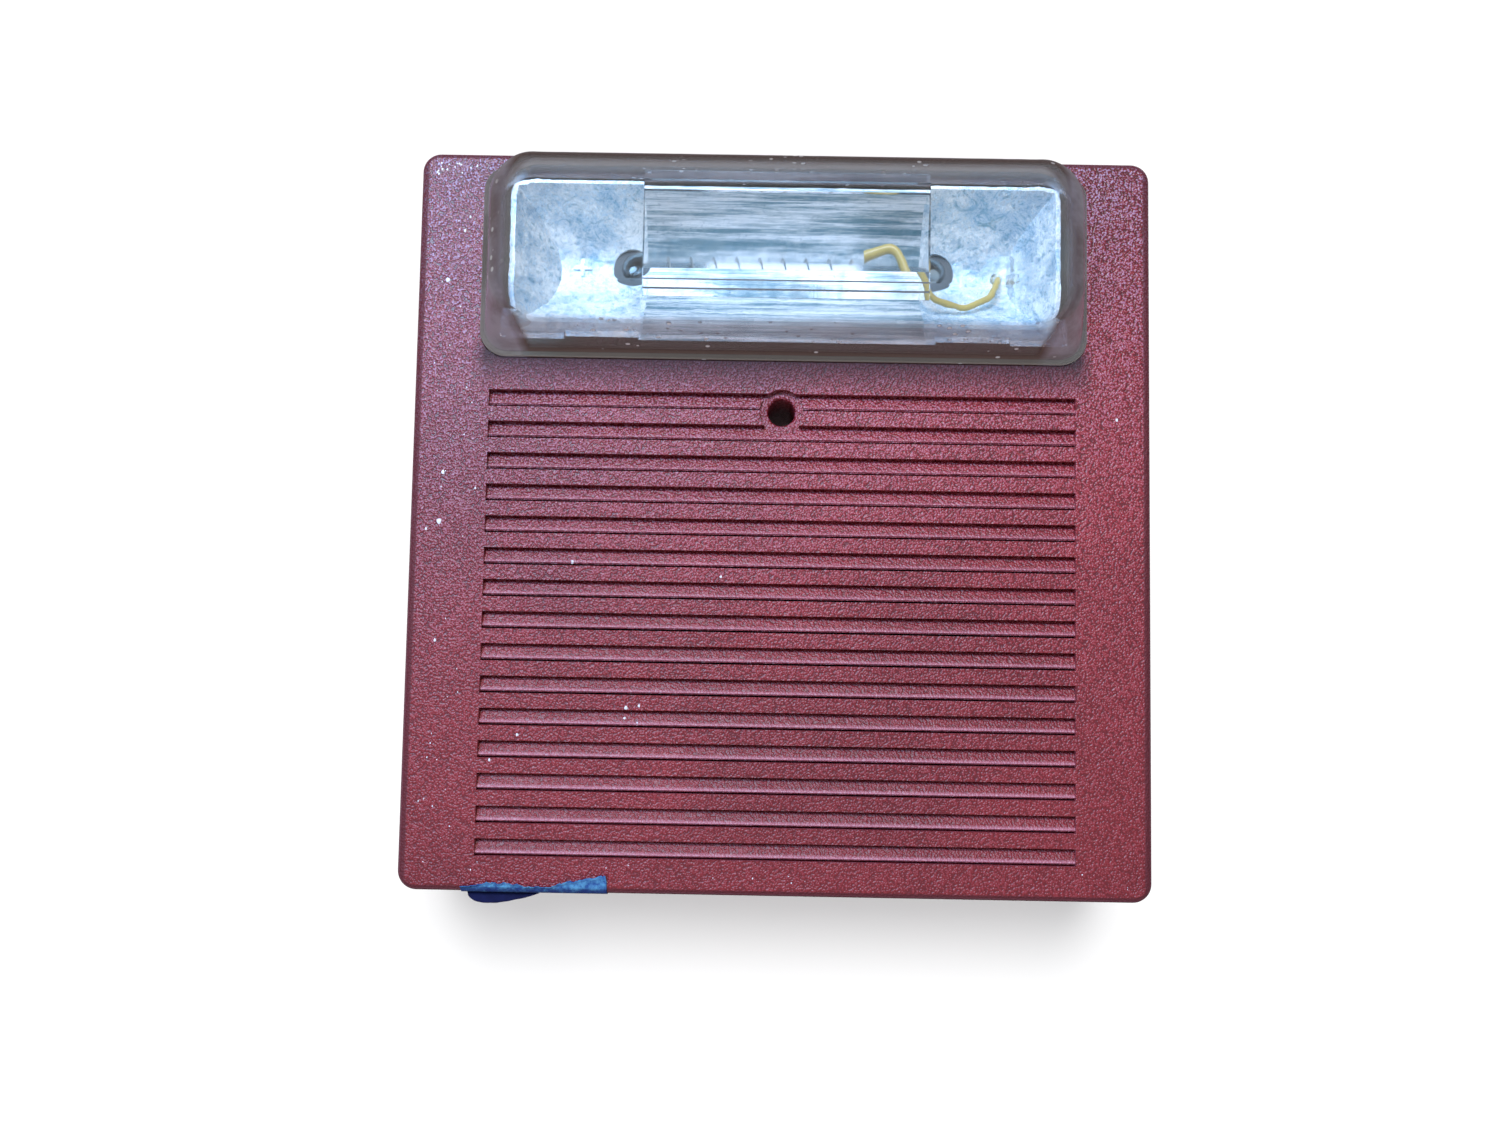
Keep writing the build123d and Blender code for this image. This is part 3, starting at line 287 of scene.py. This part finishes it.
def metallised():
    """Vacuum-metallised plastic gone milky: bright and wavy, with hazy patches, fine threads and pinholes.

    The trough behind the tube is streaked along its length."""
    look = Look("metallised_plastic")
    waves = look.noise(55.0, 5.0, 0.65)
    haze = look.noise(120.0, 8.0, 0.80)
    wisps = look.noise(260.0, 8.0, 0.85, look.stretched((0.8, 1.0, 1.0)), 2.5)
    threads = look.math("ABSOLUTE", look.math("SUBTRACT", wisps, 0.5))
    specks = look.noise(1500.0, 4.0, 0.75)
    streaks = look.noise(1300.0, 9.0, 0.85, look.stretched((0.022, 0.2, 1.0)))
    stains = look.noise(70.0, 3.0, 0.6, look.stretched((1.0, 0.3, 1.0)))
    trough = look.math("LESS_THAN", look.math("ABSOLUTE", look.axis("X")), TROUGH_HALF)
    tone = look.mix(look.spread(haze, 0.42, 0.58), colour(0.96, 1.0, 0.98), colour(0.36, 0.58, 0.74))
    tone = look.mix(look.spread(threads, 0.022, 0.008, 0.0, 0.9), tone, colour(1.0, 1.0, 1.0))
    tone = look.mix(look.spread(threads, 0.06, 0.11, 0.0, 0.75), tone, colour(0.16, 0.34, 0.42))
    banded_tone = look.mix(look.spread(streaks, 0.44, 0.56), colour(0.08, 0.22, 0.27), colour(1.0, 1.0, 1.0))
    tone = look.mix(look.math("MULTIPLY", trough, 0.88), tone, banded_tone)
    tone = look.mix(look.spread(specks, 0.60, 0.68, 0.0, 0.7), tone, colour(0.15, 0.24, 0.32))
    tone = look.mix(look.spread(stains, 0.73, 0.78, 0.0, 0.6), tone, colour(0.42, 0.30, 0.18))
    on_threads = look.spread(threads, 0.02, 0.004, 0.0, 0.2)
    milky = look.math("ADD", look.spread(haze, 0.58, 0.42, 0.34, 0.74), on_threads)
    milky = look.math("MULTIPLY", milky, look.spread(trough, 0.0, 1.0, 1.0, 0.9))
    bare = look.math("SUBTRACT", 1.0, milky)
    rough = look.math("ADD", look.spread(haze, 0.35, 0.7, 0.16, 0.45), look.math("MULTIPLY", trough, 0.15))
    soft = look.bump(waves, 1.3 * MM, 0.7)
    fibres = look.bump(wisps, 0.18 * MM, 0.8, soft)
    return look.finish(Base_Color=tone, Roughness=rough, Metallic=bare, Normal=fibres)


def tube_glass():
    """Clear glass whose middle is painted white and made less clear as a highlight, and whose ends are dark
    with sputtered metal.
    """
    look = Look("tube_glass", IOR=1.47, Roughness=0.01)
    away = look.math("ABSOLUTE", look.axis("X"))
    # painted highlight: white and less clear in the middle
    tube_highlight_share = look.spread(away, HIGHLIGHT_HALF, CLEAR_FROM, 0.80, 0.0)
    sooty = look.spread(away, CLEAR_FROM, SOOTY_FROM)
    glass = look.mix(sooty, colour(0.97, 0.985, 0.99), colour(0.34, 0.42, 0.45))
    tone = look.mix(tube_highlight_share, glass, colour(0.93, 0.96, 0.98))
    look.finish(Base_Color=tone, Transmission_Weight=look.math("SUBTRACT", 1.0, tube_highlight_share))
    look.lit_through(colour(0.96, 0.97, 0.98))
    return look.material


def clear_silicone():
    """Cured clear sealant: cloudy, with a slightly rippled skin."""
    look = Look("clear_silicone", IOR=1.41, Transmission_Weight=0.9)
    ripples = look.noise(300.0, 3.0, 0.5)
    skin = look.bump(ripples, 0.15 * MM, 0.6)
    look.finish(Base_Color=colour(0.88, 0.92, 0.93), Roughness=0.16, Normal=skin)
    look.lit_through(colour(0.85, 0.88, 0.9))
    return look.material


def moulded(name, tone, rough=0.45, grain=900.0, depth=0.03):
    """A moulded plastic, rubber or lacquer with a fine skin and slightly uneven colour."""
    look = Look(name)
    patches = look.noise(110.0, 3.0, 0.6)
    darker = tuple(0.72 * channel for channel in tone[:3]) + (1.0,)
    body = look.mix(look.spread(patches, 0.35, 0.7), tone, darker)
    skin = look.noise(grain, 2.0, 0.6)
    gloss = look.spread(patches, 0.3, 0.7, rough - 0.06, rough + 0.08)
    return look.finish(Base_Color=body, Roughness=gloss, Normal=look.bump(skin, depth * MM, 0.7))


def metal(name, tone, rough=0.32, stretch=(1.0, 1.0, 1.0)):
    """Plated or rolled metal with fine drawing marks and dulled patches."""
    look = Look(name, Metallic=1.0)
    marks = look.noise(1800.0, 3.0, 0.6, look.stretched(stretch))
    patches = look.noise(240.0, 4.0, 0.65)
    darker = tuple(0.68 * channel for channel in tone[:3]) + (1.0,)
    body = look.mix(look.spread(patches, 0.4, 0.72), tone, darker)
    gloss = look.spread(patches, 0.3, 0.7, rough - 0.08, rough + 0.12)
    return look.finish(Base_Color=body, Roughness=gloss, Normal=look.bump(marks, 0.02 * MM, 0.6))


def laminate():
    """Green solder mask over a glass-epoxy board, with the weave just showing."""
    look = Look("board_laminate", Coat_Weight=0.35, Coat_Roughness=0.15)
    weave_x = look.node("TexWave", {"Vector": look.place, "Scale": 420.0}, bands_direction="X").outputs["Fac"]
    weave_z = look.node("TexWave", {"Vector": look.place, "Scale": 420.0}, bands_direction="Z").outputs["Fac"]
    weave = look.math("ADD", weave_x, weave_z)
    patches = look.noise(40.0, 3.0, 0.5)
    body = look.mix(look.spread(patches, 0.3, 0.7), colour(0.012, 0.120, 0.045), colour(0.020, 0.165, 0.065))
    body = look.mix(look.spread(weave, 0.4, 1.8, 0.0, 0.25), body, colour(0.03, 0.20, 0.09))
    return look.finish(Base_Color=body, Roughness=0.38, Normal=look.bump(weave, 0.02 * MM, 0.5))


def winding(name, tone):
    """Enamelled wire wound in even layers round an axis that runs out of the wall."""
    look = Look(name, Coat_Weight=0.6, Coat_Roughness=0.12)
    turns = look.node("TexWave", {"Vector": look.place, "Scale": 560.0}, bands_direction="Y").outputs["Fac"]
    # painted shade: the lines between the turns are darkened
    darker = tuple(0.3 * channel for channel in tone[:3]) + (1.0,)
    body = look.mix(look.spread(turns, 0.15, 0.7), darker, tone)
    ridges = look.bump(turns, 0.25 * MM, 0.8)
    return look.finish(Base_Color=body, Metallic=0.6, Roughness=0.3, Normal=ridges)


BAND_HALF = 0.09


def banded(name, tone, bands, box):
    """A lacquered body with colour bands round it, at places along Z given as shares of its half length."""
    look = Look(name, Coat_Weight=0.5, Coat_Roughness=0.15)
    low, high = box
    centre, half = (low.z + high.z) / 2, (high.z - low.z) / 2
    along = look.math("DIVIDE", look.math("SUBTRACT", look.axis("Z"), centre), half)
    body = tone
    for place, band in bands:
        away = look.math("ABSOLUTE", look.math("SUBTRACT", along, place))
        near = look.math("LESS_THAN", away, BAND_HALF)
        body = look.mix(near, body, band)
    skin = look.noise(1400.0, 2.0, 0.5)
    return look.finish(Base_Color=body, Roughness=0.35, Normal=look.bump(skin, 0.02 * MM, 0.5))


BLACK = colour(0.014, 0.014, 0.016)
WHITE = colour(0.72, 0.72, 0.68)
DIODE_BANDS = [(0.62, colour(0.7, 0.7, 0.7))]
RESISTOR_BANDS = [
    (-0.6, colour(0.30, 0.08, 0.03)),
    (-0.25, colour(0.02, 0.02, 0.02)),
    (0.1, colour(0.45, 0.10, 0.02)),
    (0.6, colour(0.55, 0.38, 0.08)),
]
zinc = metal("zinc_steel", colour(0.66, 0.65, 0.60), 0.34)
tinned = metal("tinned_brass", colour(0.72, 0.70, 0.62), 0.30)
wire_metal = metal("lead_metal", colour(0.70, 0.70, 0.68), 0.26)
black_plastic = moulded("black_plastic", BLACK, 0.42)
ferrite = moulded("ferrite", colour(0.035, 0.035, 0.037), 0.5, 1500.0, 0.05)
copper = winding("copper_winding", colour(0.52, 0.17, 0.05))
white_plastic = moulded("white_plastic", WHITE, 0.4)
sleeve = moulded("dark_sleeve", colour(0.010, 0.014, 0.045), 0.22, 500.0, 0.02)
rubber = moulded("black_rubber", colour(0.018, 0.018, 0.018), 0.7, 1200.0, 0.04)

FINISHES = {
    "front_cover": red_abs(),
    "strobe_lens": clear_lens(),
    "reflector": metallised(),
    "flash_tube": tube_glass(),
    "tube_cathode": wire_metal,
    "tube_anode": wire_metal,
    "tube_grommets": moulded("grey_silicone", colour(0.07, 0.09, 0.10), 0.55),
    "trigger_wire": wire_metal,
    "trigger_lead": moulded("yellow_insulation", colour(0.60, 0.45, 0.14), 0.35),
    "lead_sealant": clear_silicone(),
    "lens_screws": zinc,
    "reflector_screws": zinc,
    "board_screws": zinc,
    "sounder_screws": zinc,
    "circuit_board": laminate(),
    "terminal_block": moulded("green_plastic", colour(0.02, 0.20, 0.07), 0.42),
    "terminal_contacts": tinned,
    "dip_switch_body": moulded("blue_plastic", colour(0.012, 0.05, 0.26), 0.4),
    "candela_switch_body": black_plastic,
    "candela_knob": white_plastic,
    "flash_capacitor": metal("capacitor_can", colour(0.78, 0.79, 0.80), 0.28),
    "capacitor_sleeve": sleeve,
    "capacitor_seal": rubber,
    "power_inductor_core": ferrite,
    "horn_transformer_core": ferrite,
    "power_inductor_winding": copper,
    "horn_transformer_winding": copper,
    "trigger_transformer": moulded("black_varnish", BLACK, 0.25, 400.0, 0.05),
    "power_transistor": black_plastic,
    "transistor_tab": tinned,
    "film_capacitor": moulded("yellow_film", colour(0.55, 0.38, 0.03), 0.3, 600.0, 0.03),
    "small_film_capacitors": moulded("red_film", colour(0.32, 0.045, 0.02), 0.25, 500.0, 0.04),
    "electrolytic_capacitors": sleeve,
    "rectifier_diodes": banded("diode_body", BLACK, DIODE_BANDS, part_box("rectifier_diodes")),
    "resistors": banded("resistor_body", colour(0.48, 0.33, 0.17), RESISTOR_BANDS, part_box("resistors")),
    "component_leads": wire_metal,
    "solder_joints": metal("solder", colour(0.75, 0.75, 0.76), 0.22),
    "microcontroller": black_plastic,
    "driver_chip": black_plastic,
    "chip_legs": wire_metal,
    "sounder_housing": black_plastic,
    "sounder_back_cover": black_plastic,
    "sounder_diaphragm": metal("brass_sheet", colour(0.70, 0.50, 0.20), 0.3),
    "piezo_disc": moulded("piezo_ceramic", colour(0.62, 0.62, 0.58), 0.35),
    "sounder_seal": rubber,
    "sounder_lead_red": moulded("red_insulation", colour(0.45, 0.015, 0.015), 0.38),
    "sounder_lead_black": moulded("black_insulation", BLACK, 0.4),
    "dust_screen": moulded("black_cloth", colour(0.02, 0.012, 0.014), 0.9, 3000.0, 0.1),
}
for number in range(1, 5):
    FINISHES[f"terminal_screw_{number}"] = zinc
    FINISHES[f"clamp_cage_{number}"] = tinned
    FINISHES[f"dip_slider_{number}"] = white_plastic

for name, node in NODES.items():
    node.data.materials.clear()
    node.data.materials.append(FINISHES[name])


# ---------------------------------------------------------------- paint specks and tape on the cover
def mesh_piece(name, made, material):
    """A smooth piece from a finished bmesh, riding on the housing."""
    mesh = bpy.data.meshes.new(name)
    bmesh.ops.recalc_face_normals(made, faces=made.faces)
    made.to_mesh(mesh)
    made.free()
    for polygon in mesh.polygons:
        polygon.use_smooth = True
    mesh.materials.append(material)
    piece = bpy.data.objects.new(name, mesh)
    bpy.context.scene.collection.objects.link(piece)
    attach(piece, "housing")
    return piece


def recess_depth(x, z):
    """How far the cover's surface lies behind its face here."""
    below = (LOUVRE_TOP - z) % LOUVRE_PITCH
    if abs(x) > LOUVRE_HALF_WIDTH or z > LOUVRE_TOP or below > FLOOR_HEIGHT:
        return 0.0
    return RECESS_DEPTH - (RECESS_DEPTH - LIP_DEPTH) * below / FLOOR_HEIGHT


def droplet(made, draws, x, z, radius, sunk=0.0):
    """A flattened drop of dried paint, slightly out of round, on the cover or this far behind its face."""
    rings, sides = 4, 14
    out = COVER_FACE + 0.03 * MM + sunk
    turn = draws.uniform(0, math.tau)
    stretch = draws.uniform(1.0, 1.5)
    height = radius * 0.45
    rows = []
    for ring in range(rings + 1):
        angle = math.pi / 2 * ring / rings
        reach, rise = math.cos(angle), math.sin(angle)
        row = []
        for side in range(sides if ring < rings else 1):
            around = math.tau * side / sides
            wobble = 1 + 0.10 * math.sin(3 * around + turn)
            dx = reach * radius * wobble * math.cos(around + turn)
            dz = reach * radius * wobble * stretch * math.sin(around + turn)
            row.append(made.verts.new((x + dx, out - rise * height, z + dz)))
        rows.append(row)
    for lower, upper in zip(rows, rows[1:]):
        for side in range(sides):
            after = (side + 1) % sides
            if len(upper) == 1:
                made.faces.new((lower[side], lower[after], upper[0]))
            else:
                made.faces.new((lower[side], lower[after], upper[after], upper[side]))
    made.faces.new(rows[0])


# the larger specks, given one by one: x and z on the cover's face, and radius, in millimetres
LARGE_SPECKS = [
    (-61.1, 42.8, 0.42), (-60.8, 7.6, 0.30), (-63.5, -2.7, 0.22), (-61.2, -1.3, 0.46), (-54.9, 4.8, 0.18),
    (-61.2, -22.6, 0.24), (-37.1, -8.2, 0.30), (-10.4, -10.4, 0.24), (-26.8, -34.0, 0.34),
    (-24.5, -33.6, 0.22), (-27.1, -36.0, 0.26), (-24.8, -36.8, 0.20), (-46.0, -39.1, 0.26),
    (-50.8, -43.6, 0.22), (60.4, 19.1, 0.24), (-58.3, 52.0, 0.22), (-57.4, 54.6, 0.20),
]
# the finer ones: how many, where in x and z, and their radii, in millimetres
SCATTERS = [
    (16, (-64.0, -55.5), (62.5, 64.6), (0.10, 0.22)),
    (34, (-64.5, -56.0), (-62.0, 61.0), (0.07, 0.14)),
    (14, (-64.0, 64.0), (-64.6, -61.4), (0.07, 0.13)),
]


def paint_specks():
    """Splashes of white paint: the large ones, a line of them under the top edge, and two fine scatters."""
    draws = random.Random(41)
    made = bmesh.new()
    for x, z, radius in LARGE_SPECKS:
        droplet(made, draws, x * MM, z * MM, radius * MM, recess_depth(x * MM, z * MM))
    for count, across, up, radii in SCATTERS:
        for _ in range(count):
            x, z, radius = draws.uniform(*across), draws.uniform(*up), draws.uniform(*radii)
            droplet(made, draws, x * MM, z * MM, radius * MM)
    paint = moulded("white_paint", colour(0.88, 0.84, 0.86), 0.45, 2500.0, 0.02)
    mesh_piece("paint_specks", made, paint)


TAPE_THICKNESS = 0.14 * MM
TAPE_COLUMNS = 110
TAPE_LEFT, TAPE_RIGHT = -55.2 * MM, -29.4 * MM
FLAP_LEFT, FLAP_RIGHT = -54.2 * MM, -41.5 * MM
FLAP_FALL = 2.1 * MM

# the cover's rounded edge, which the tape bends round
EDGE_RADIUS = 1.4 * MM


def blue_tape():
    """Crepe painter's tape, creased: its pale and dark patches follow the creases as painted highlight and
    shade, and it turns navy where it bends under, a painted shade.
    """
    look = Look("blue_tape", Roughness=0.7, Specular_IOR_Level=0.3)
    ribs = look.noise(1500.0, 3.0, 0.6, look.stretched((1.6, 0.5, 0.5)))
    creases = look.noise(560.0, 5.0, 0.75)
    # painted highlight and shade: the tape is paler and darker with its creases
    body = look.mix(look.spread(creases, 0.38, 0.64), colour(0.008, 0.036, 0.18), colour(0.100, 0.290, 0.46))
    # painted shade: navy low on the tape, where it bends under the cover's edge
    height = look.spread(look.axis("Z"), COVER_FOOT + 0.5 * MM, COVER_FOOT + 2.0 * MM)
    low = look.spread(look.math("ADD", height, creases), 0.95, 0.45, 0.0, 0.85)
    body = look.mix(low, body, colour(0.008, 0.022, 0.125))
    grain = look.bump(ribs, 0.08 * MM, 0.8, look.bump(creases, 0.5 * MM, 0.8))
    return look.finish(Base_Color=body, Normal=grain)


def navy_tape():
    """The tape's other side, in shade: dark and dull."""
    look = Look("navy_tape", Roughness=0.8, Specular_IOR_Level=0.1)
    creases = look.noise(300.0, 4.0, 0.65)
    body = look.mix(look.spread(creases, 0.35, 0.7), colour(0.004, 0.004, 0.022), colour(0.008, 0.009, 0.048))
    return look.finish(Base_Color=body, Normal=look.bump(creases, 0.2 * MM, 0.8))


def tape_strip(name, x_from, x_to, profile, material):
    """A strip of tape whose section in (y, z) at each share of its length comes from profile."""
    made = bmesh.new()
    rows = []
    for column in range(TAPE_COLUMNS + 1):
        share = column / TAPE_COLUMNS
        x = x_from + (x_to - x_from) * share
        rows.append([made.verts.new((x, y, z)) for y, z in profile(share, x)])
    for left, right in zip(rows, rows[1:]):
        for row in range(len(left) - 1):
            made.faces.new((left[row], right[row], right[row + 1], left[row + 1]))
    piece = mesh_piece(name, made, material)
    thick = piece.modifiers.new("thickness", "SOLIDIFY")
    thick.thickness = TAPE_THICKNESS
    thick.offset = 1.0


def ragged(x, scale, row):
    """Smooth noise along the tape, from about -1 to 1, the same on every run; each row has its own."""
    return noise.noise(Vector((x * scale, row, 0.0)))


def front_tape(share, x):
    """Round the bottom edge from its underside, and up the face to a torn, curling edge.

    The torn edge has a low hump on the left, a dip past the middle and a tail that rises to the right."""
    swell = 0.35 + 1.05 * math.sin(math.pi * min(1.0, share * 1.9)) * (share < 0.53)
    tail = 0.9 + 2.1 * max(0.0, share - 0.55) / 0.45
    dip = 0.55 * math.exp(-((share - 0.60) / 0.05) ** 2)
    rise = (max(swell, tail if share > 0.5 else 0.0) - dip - 0.62) * MM
    torn = 0.42 * MM * ragged(x, 900, 1) + 0.20 * MM * ragged(x, 3200, 2)
    rise = max(rise + torn, 0.12 * MM)
    rise *= min(1.0, share / 0.06) * min(1.0, (1 - share) / 0.012 + 0.55)
    lift = 0.05 * MM
    reach = EDGE_RADIUS + lift
    centre_y, centre_z = COVER_FACE + EDGE_RADIUS, COVER_FOOT + EDGE_RADIUS
    points = [(COVER_FACE + 5.0 * MM, COVER_FOOT - lift), (centre_y, COVER_FOOT - lift)]
    for step in range(1, 5):
        angle = math.pi / 2 * step / 5
        points.append((centre_y - reach * math.sin(angle), centre_z - reach * math.cos(angle)))
    for step in range(6):
        along = step / 5
        crease = 0.10 * MM * (1 + ragged(x, 700, 5 + step)) * along
        curl = 0.55 * MM * along ** 3 * (0.6 + 0.4 * ragged(x, 400, 3))
        points.append((COVER_FACE - lift - crease - curl, COVER_FOOT + EDGE_RADIUS * 0.75 + rise * along))
    return points


def hanging_tape(share, x):
    """A loose flap under the bottom edge, longest near its left end."""
    fall = math.sin(math.pi * share ** 0.55) ** 0.7 * FLAP_FALL
    fall = max(fall + 0.08 * MM * ragged(x, 600, 9), 0.02 * MM)
    points = []
    for step in range(7):
        along = step / 6
        points.append((COVER_FACE + (2.0 - 0.5 * along) * MM, COVER_FOOT - 0.1 * MM - fall * along))
    return points


paint_specks()
tape_strip("tape_scrap", TAPE_LEFT, TAPE_RIGHT, front_tape, blue_tape())
tape_strip("tape_flap", FLAP_LEFT, FLAP_RIGHT, hanging_tape, navy_tape())


# ---------------------------------------------------------------- stage, lights, camera
def plane(name, size, place, turn, material):
    """A square of the stage, which isn't part of the object."""
    mesh = bpy.data.meshes.new(name)
    half = size / 2
    corners = [(-half, -half, 0), (half, -half, 0), (half, half, 0), (-half, half, 0)]
    mesh.from_pydata(corners, [], [(0, 1, 2, 3)])
    mesh.materials.append(material)
    made = bpy.data.objects.new(name, mesh)
    made.location = place
    made.rotation_euler = turn
    bpy.context.scene.collection.objects.link(made)
    return made


def wall_paint():
    """White to look at; darker to the other surfaces, as a room is; and open from behind."""
    look = Look("wall_paint", Roughness=0.9)
    look.finish(Base_Color=colour(0.845, 0.84, 0.833))
    room = look.node("BsdfDiffuse", {"Color": colour(0.16, 0.15, 0.16)})
    seen = look.node("LightPath").outputs["Is Camera Ray"]
    front = look.node("MixShader", {"i0": seen, "i1": room.outputs[0], "i2": look.shader.outputs[0]})
    behind = look.node("NewGeometry").outputs["Backfacing"]
    clear = look.node("BsdfTransparent")
    blend = look.node("MixShader", {"i0": behind, "i1": front.outputs[0], "i2": clear.outputs[0]})
    look.tree.links.new(blend.outputs[0], look.output.inputs["Surface"])
    return look.material


wall = plane("wall", 3.0, (0, 0.3 * MM, 0), (math.radians(90), 0, 0), wall_paint())
wall.visible_shadow = False
floor_paint = Look("floor_paint", Roughness=0.85, Base_Color=colour(0.80, 0.80, 0.79)).material
floor = plane("floor", 6.0, (0, 0, -0.60), (0, 0, 0), floor_paint)


def receivers(name, objects, state):
    """A collection that lets only these objects take a light, or all but these."""
    made = bpy.data.collections.new(name)
    for index, thing in enumerate(objects):
        made.objects.link(thing)
        made.collection_objects[index].light_linking.link_state = state
    return made


the_rest = receivers("the_rest", [wall, floor, NODES["strobe_lens"]], "EXCLUDE")
lens_only = receivers("lens_only", [NODES["strobe_lens"]], "INCLUDE")
wall_only = receivers("wall_only", [wall], "INCLUDE")
floor_only = receivers("floor_only", [floor], "INCLUDE")


CENTRE = (0, -0.03, 0)
WHITE_LIGHT = (1.0, 1.0, 1.0)


def area_light(name, place, width, height, power, tint, taken_by=the_rest):
    """A softbox turned to the object's middle, hidden from what is seen through the lens."""
    data = bpy.data.lights.new(name, "AREA")
    data.shape = "RECTANGLE"
    data.size = width
    data.size_y = height
    data.energy = power
    data.color = tint
    made = bpy.data.objects.new(name, data)
    made.location = place
    made.rotation_euler = (Vector(CENTRE) - Vector(place)).to_track_quat("-Z", "Y").to_euler()
    made.visible_transmission = False
    made.light_linking.receiver_collection = taken_by
    bpy.context.scene.collection.objects.link(made)


area_light("key", (-0.10, -1.05, 0.66), 0.36, 0.26, 10.0, (1.0, 0.86, 0.80))
area_light("window", (-0.38, -1.00, 0.46), 0.45, 0.34, 17.0, (0.32, 0.62, 1.0))
area_light("lens_fill", (-0.30, -1.40, 1.00), 2.4, 1.6, 14.0, (1.0, 0.95, 0.94), lens_only)
area_light("back_left", (0.6, 0.8, 0.6), 0.8, 0.8, 14.0, WHITE_LIGHT)
area_light("back_right", (-0.7, 0.8, 0.2), 0.8, 0.8, 8.0, WHITE_LIGHT)


def backdrop_light(name, energy, shadow, taken_by, way):
    """A soft light that only one part of the stage takes, so that it stays pale and even."""
    data = bpy.data.lights.new(name, "SUN")
    data.energy = energy
    data.angle = math.radians(35)
    data.use_shadow = shadow
    made = bpy.data.objects.new(name, data)
    made.rotation_euler = Vector(way).to_track_quat("-Z", "Y").to_euler()
    bpy.context.scene.collection.objects.link(made)
    made.light_linking.receiver_collection = taken_by


def studio_world():
    """Pale to look at, a cool sky for what shiny surfaces reflect, and a dimmer one for the rest."""
    world = bpy.data.worlds.new("studio")
    world.use_nodes = True
    tree = world.node_tree
    links = tree.links

    def sky(red, green, blue, strength):
        node = tree.nodes.new("ShaderNodeBackground")
        node.inputs["Color"].default_value = (red, green, blue, 1.0)
        node.inputs["Strength"].default_value = strength
        return node.outputs[0]

    def blend(share, first, second):
        node = tree.nodes.new("ShaderNodeMixShader")
        links.new(share, node.inputs[0])
        links.new(first, node.inputs[1])
        links.new(second, node.inputs[2])
        return node.outputs[0]

    path = tree.nodes.new("ShaderNodeLightPath")
    shiny = tree.nodes.new("ShaderNodeMath")
    shiny.operation = "MAXIMUM"
    links.new(path.outputs["Is Glossy Ray"], shiny.inputs[0])
    links.new(path.outputs["Is Transmission Ray"], shiny.inputs[1])
    seen = blend(shiny.outputs[0], sky(0.52, 0.62, 0.80, 0.16), sky(0.48, 0.68, 0.86, 0.74))
    seen = blend(path.outputs["Is Camera Ray"], seen, sky(0.90, 0.91, 0.92, 1.0))
    links.new(seen, tree.nodes["World Output"].inputs["Surface"])
    bpy.context.scene.world = world


ONTO_WALL = (0.0, 1.0, -0.62)
backdrop_light("backdrop", 2.40, True, wall_only, ONTO_WALL)
backdrop_light("backdrop_fill", 1.50, False, wall_only, ONTO_WALL)
backdrop_light("floor_light", 2.2, True, floor_only, (0.0, 0.3, -1.0))
studio_world()
bpy.context.scene.view_settings.view_transform = "Standard"


CAMERA_PLACE = Vector((-4.3, -226.5, -19.8)) * MM
FOCAL_LENGTH = 26.4
CAMERA_TURN, CAMERA_LEAN, CAMERA_LIFT = 0.21, -1.02, 3.51


def add_camera():
    """Close in front of the cover, a little below its middle and looking slightly up."""
    data = bpy.data.cameras.new("camera")
    data.sensor_fit = "HORIZONTAL"
    data.sensor_width = 36.0
    data.lens = FOCAL_LENGTH
    data.clip_start = 0.01
    made = bpy.data.objects.new("camera", data)
    turn = Matrix.Rotation(math.radians(CAMERA_TURN), 4, "Z")
    lean = Matrix.Rotation(math.radians(CAMERA_LEAN), 4, "Y")
    lift = Matrix.Rotation(math.radians(90 + CAMERA_LIFT), 4, "X")
    made.matrix_world = Matrix.Translation(CAMERA_PLACE) @ turn @ lean @ lift
    bpy.context.scene.collection.objects.link(made)
    bpy.context.scene.camera = made


add_camera()
